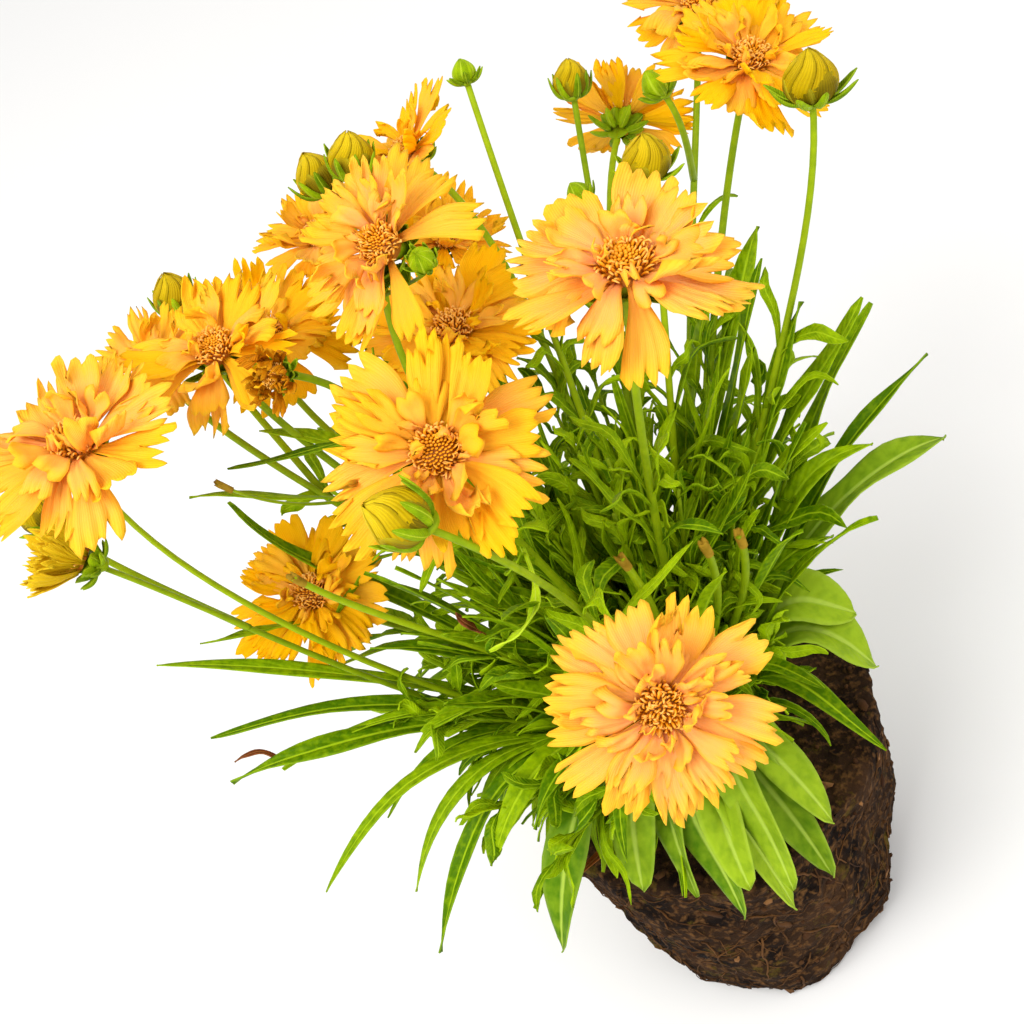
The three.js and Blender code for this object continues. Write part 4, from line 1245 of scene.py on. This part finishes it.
leaves = []
bm = new_sheet()
for i in range(SHOOTS):
    curve = shoot_curve(i, dice)
    path = [bezier(curve, k / SHOOT_STEPS) for k in range(SHOOT_STEPS + 1)]
    add_tube(bm, path, [1.1 - 0.05 * k for k in range(SHOOT_STEPS + 1)], sides=6, tone=0.5)
    leaves += paired_leaves(curve, SHOOT_LEVELS, 20, 44, dice)
shoots = add_piece("shoot_stems", bm, green_stem, ["stems_and_leaves"])
print(SHOOTS, "shoots,", len(shoots.data.polygons), "faces")
make_leaves("shoot_leaves", leaves, waxy_leaf, (0, 1), 2, 9, dice)
make_leaves("curled_leaflet", [single_leaf(CURLED_LEAFLET)], lime_leaf, (0, 0.3), 6, 16, dice)
make_leaves("dry_leaves", DRY_LEAVES, dry_leaf, (0.1, 0.9), 4, 14, dice)

# %% [markdown]
# ## The root ball
# The soil has kept the taper of the pot. Its surface is crumbly peat, with fine brown roots that run
# over it, chips of bark, and a few mossy specks. The ball is a profile spun round the axis, fine
# enough for the crumbs to be real relief, and three sizes of noise push its points in and out. Its
# colour follows clods of about 17 mm, mossy specks of about 10 mm and crumbs of about 2.4 mm.

# %% Soil material
peat = {"Roughness": 0.95, "Specular IOR Level": 0.08}
peat_soil, tree, shader = new_material("damp_peat_soil", peat)
place = add_node(tree, "TexCoord").outputs["Object"]
clods = add_node(tree, "TexNoise", {"Vector": place, "Scale": 60, "Detail": 4})
crumbs = add_node(tree, "TexNoise", {"Vector": place, "Scale": 420, "Detail": 3})
moss = add_node(tree, "TexNoise", {"Vector": place, "Scale": 95, "Detail": 5, "Roughness": 0.7})
clod = add_node(tree, "MapRange", {0: clods.outputs[0], 1: 0.38, 2: 0.66})
dark = add_node(tree, "Mix", {0: clod.outputs[0], 6: linear("130B07"), 7: linear("3C2818")}, **COLOUR)
crumb = add_node(tree, "MapRange", {0: crumbs.outputs[0], 1: 0.5, 2: 0.72, 3: 0.0, 4: 0.7})
brown = add_node(tree, "Mix", {0: crumb.outputs[0], 6: dark.outputs[2], 7: linear("74502C")}, **COLOUR)
speck = add_node(tree, "MapRange", {0: moss.outputs[0], 1: 0.58, 2: 0.68, 3: 0.0, 4: 0.65})
mossy = add_node(tree, "Mix", {0: speck.outputs[0], 6: brown.outputs[2], 7: linear("5A4A14")}, **COLOUR)
tree.links.new(mossy.outputs[2], shader.inputs["Base Color"])
bump = add_node(tree, "Bump", {"Height": crumbs.outputs[0], "Strength": 0.9, "Distance": 0.002})
tree.links.new(bump.outputs[0], shader.inputs["Normal"])
print("soil material ready")

# %% Soil
BALL_TOP_RADIUS = 58
BALL_BASE_RADIUS = 42
SPIN_STEPS = 240
CRUMB_SIZES = [(22, 1.6), (6, 1.3), (2.4, 0.8)]  # spacing and height of the lumps


def ball_radius(angle, height):
    """The radius of the ball's side there, with the slow waves that it has round it."""
    smooth = BALL_BASE_RADIUS + (BALL_TOP_RADIUS - BALL_BASE_RADIUS) * (max(height, 0) / SOIL_TOP) ** 0.55
    return smooth + 1.6 * math.sin(3 * angle + 0.6) + 1.2 * math.sin(7 * angle + height / 11)


def profile_points():
    """The half outline from the middle of the base, up the side, to the middle of the top.

    A radius of None lies on the side, and one below 0 so far inside of it.
    """
    base = [(r, 0) for r in range(0, BALL_BASE_RADIUS - 3, 2)]
    side = [(None, z) for z in [0.6, 1.8, 3.2] + [4.6 + 1.3 * k for k in range(59)]]
    rim = [(None, SOIL_TOP - 1.6), (-1.2, SOIL_TOP - 0.6), (-3, SOIL_TOP)]
    top = [(BALL_TOP_RADIUS - 4.5 - 1.4 * k, SOIL_TOP + min(k / 10, 1)) for k in range(38)]
    return base + side + rim + top + [(0, SOIL_TOP + 1)]


def soil_relief(point):
    """How far the crumbs push the surface out at a point."""
    return sum(height * noise.noise(point / size) for size, height in CRUMB_SIZES)


bm = bmesh.new()
outline = []
for radius, height in profile_points():
    on_side = radius is None or radius < 0
    reach = ball_radius(0, height) + (radius or 0) if on_side else radius
    outline.append(bm.verts.new((reach * MM, 0, height * MM)))
edges = [bm.edges.new(pair) for pair in zip(outline, outline[1:])]
bmesh.ops.spin(bm, geom=outline + edges, axis=UP, angle=2 * math.pi, steps=SPIN_STEPS, use_merge=True)
bmesh.ops.remove_doubles(bm, verts=bm.verts, dist=0.01 * MM)
for vert in bm.verts:
    point = vert.co / MM
    angle = math.atan2(point.y, point.x)
    round_share = ball_radius(angle, point.z) / ball_radius(0, point.z)
    point.x *= round_share
    point.y *= round_share
    outward = Vector((point.x, point.y, 0)).normalized() if point.z < SOIL_TOP - 1 else UP
    if point.z > 0.5:  # the base stays flat
        point += outward * soil_relief(point)
    vert.co = point * MM
bmesh.ops.recalc_face_normals(bm, faces=bm.faces)
soil = add_piece("soil", bm, peat_soil, ["root_ball"])
print("soil", len(soil.data.polygons), "faces")

# %% [markdown]
# ## Roots, bark and crumbs
# Fine roots wander down and round the ball, half sunk in it. Bark chips and crumbs lie on it at
# random. Each is a small closed body of few faces, because there are hundreds of them.

# %% Root and bark materials
fibre = {"Roughness": 0.8, "Specular IOR Level": 0.15}
root_fibre, tree, shader = new_material("dry_root_fibre", fibre)
place = add_node(tree, "TexCoord").outputs["Object"]
stain = add_node(tree, "TexNoise", {"Vector": place, "Scale": 90, "Detail": 3})
spread_out = add_node(tree, "MapRange", {0: stain.outputs[0], 1: 0.35, 2: 0.65})
brown = add_node(tree, "Mix", {0: spread_out.outputs[0], 6: linear("2E1A0C"), 7: linear("62401E")}, **COLOUR)
tree.links.new(brown.outputs[2], shader.inputs["Base Color"])

weathered = {"Roughness": 0.9, "Specular IOR Level": 0.12}
bark_chip, tree, shader = new_material("weathered_bark_chip", weathered)
place = add_node(tree, "TexCoord").outputs["Object"]
grain = add_node(tree, "TexNoise", {"Vector": place, "Scale": 240, "Detail": 4, "Distortion": 1.5})
tone = add_node(tree, "Attribute", attribute_name="tone").outputs["Fac"]
wood = add_node(tree, "Mix", {0: tone, 6: linear("B07C48"), 7: linear("301C0E")}, **COLOUR)
streaked = add_node(tree, "Mix", {0: grain.outputs[0], 6: wood.outputs[2], 7: linear("3E2412")}, **COLOUR)
tree.links.new(streaked.outputs[2], shader.inputs["Base Color"])
bump = add_node(tree, "Bump", {"Height": grain.outputs[0], "Strength": 0.7, "Distance": 0.0006})
tree.links.new(bump.outputs[0], shader.inputs["Normal"])
print("root and bark materials ready")

# %% Roots
ROOTS = 150
ROOT_STEP = 2.6
ROOT_COURSES = [-90, -70, -110, -30, -150, 10]  # degrees, from level round the ball: most run down
ROOT_RADII = [0.22, 0.25, 0.3, 0.45]


def on_ball(angle, height, out):
    """A point on the side of the ball, so far out of its crumbly surface."""
    point = around(angle, ball_radius(angle, height), height)
    return point + around(angle) * (soil_relief(point) + out)


dice = random.Random(40)
bm = new_sheet()
for _ in range(ROOTS):
    angle = dice.uniform(0, 2 * math.pi)
    height = dice.uniform(8, 82)
    course = math.radians(dice.choice(ROOT_COURSES) + dice.uniform(-20, 20))
    thick = dice.choice(ROOT_RADII)
    path = []
    for k in range(dice.randint(8, 16)):
        path.append(on_ball(angle, min(max(height, 2), SOIL_TOP - 1), 0.15 + 0.25 * math.sin(k * 1.1)))
        course += dice.uniform(-0.45, 0.45)
        angle += ROOT_STEP * math.cos(course) / BALL_TOP_RADIUS
        height += ROOT_STEP * math.sin(course)
    radii = [thick * (1 - 0.6 * k / len(path)) for k in range(len(path))]
    add_tube(bm, path, radii, sides=5, tone=0.5)
roots = add_piece("roots", bm, root_fibre, ["root_ball"])
print(ROOTS, "roots,", len(roots.data.polygons), "faces")

# %% Bark chips and crumbs
CHIPS = 90
CRUMBS = 420
SHARE_ON_TOP = 0.3
CHIP_TONES = [0.1, 0.55, 0.8, 0.9, 1.0]  # most are dark, and a few are freshly broken and pale


def add_lump(bm, place, outward, size, tone, dice):
    """A small broken lump: a coarse ball, squashed to its size and roughened."""
    layer = bm.verts.layers.float["tone"]
    lump = bmesh.ops.create_icosphere(bm, subdivisions=1, radius=0.5)["verts"]
    turn = UP.rotation_difference(outward) @ Quaternion(UP, dice.uniform(0, math.pi))
    for vert in lump:
        rough = vert.co * (1 + 0.5 * noise.noise(place + vert.co * 2.2))
        vert.co = (place + turn @ (rough * Vector(size))) * MM
        vert[layer] = tone


def spot_on_soil(dice):
    """A random spot on the ball's side or top, with the way out of the soil there."""
    angle = dice.uniform(0, 2 * math.pi)
    if dice.random() < SHARE_ON_TOP:
        reach = BALL_TOP_RADIUS * math.sqrt(dice.uniform(0.12, 0.85))
        point = around(angle, reach, SOIL_TOP + 0.8)
        return point + UP * soil_relief(point), UP
    return on_ball(angle, dice.uniform(4, 81), 0), around(angle)


dice = random.Random(41)
bm = new_sheet()
for _ in range(CHIPS):
    place, outward = spot_on_soil(dice)
    size = (dice.uniform(3, 8), dice.uniform(1.5, 3.5), dice.uniform(0.8, 1.6))
    add_lump(bm, place, outward, size, dice.choice(CHIP_TONES), dice)
for _ in range(CRUMBS):
    place, outward = spot_on_soil(dice)
    size = [dice.uniform(0.8, 2.4) for _ in range(3)]
    add_lump(bm, place, outward, size, dice.uniform(0.75, 1), dice)
bark = add_piece("bark_and_crumbs", bm, bark_chip, ["root_ball"])
print(CHIPS, "chips and", CRUMBS, "crumbs,", len(bark.data.polygons), "faces")
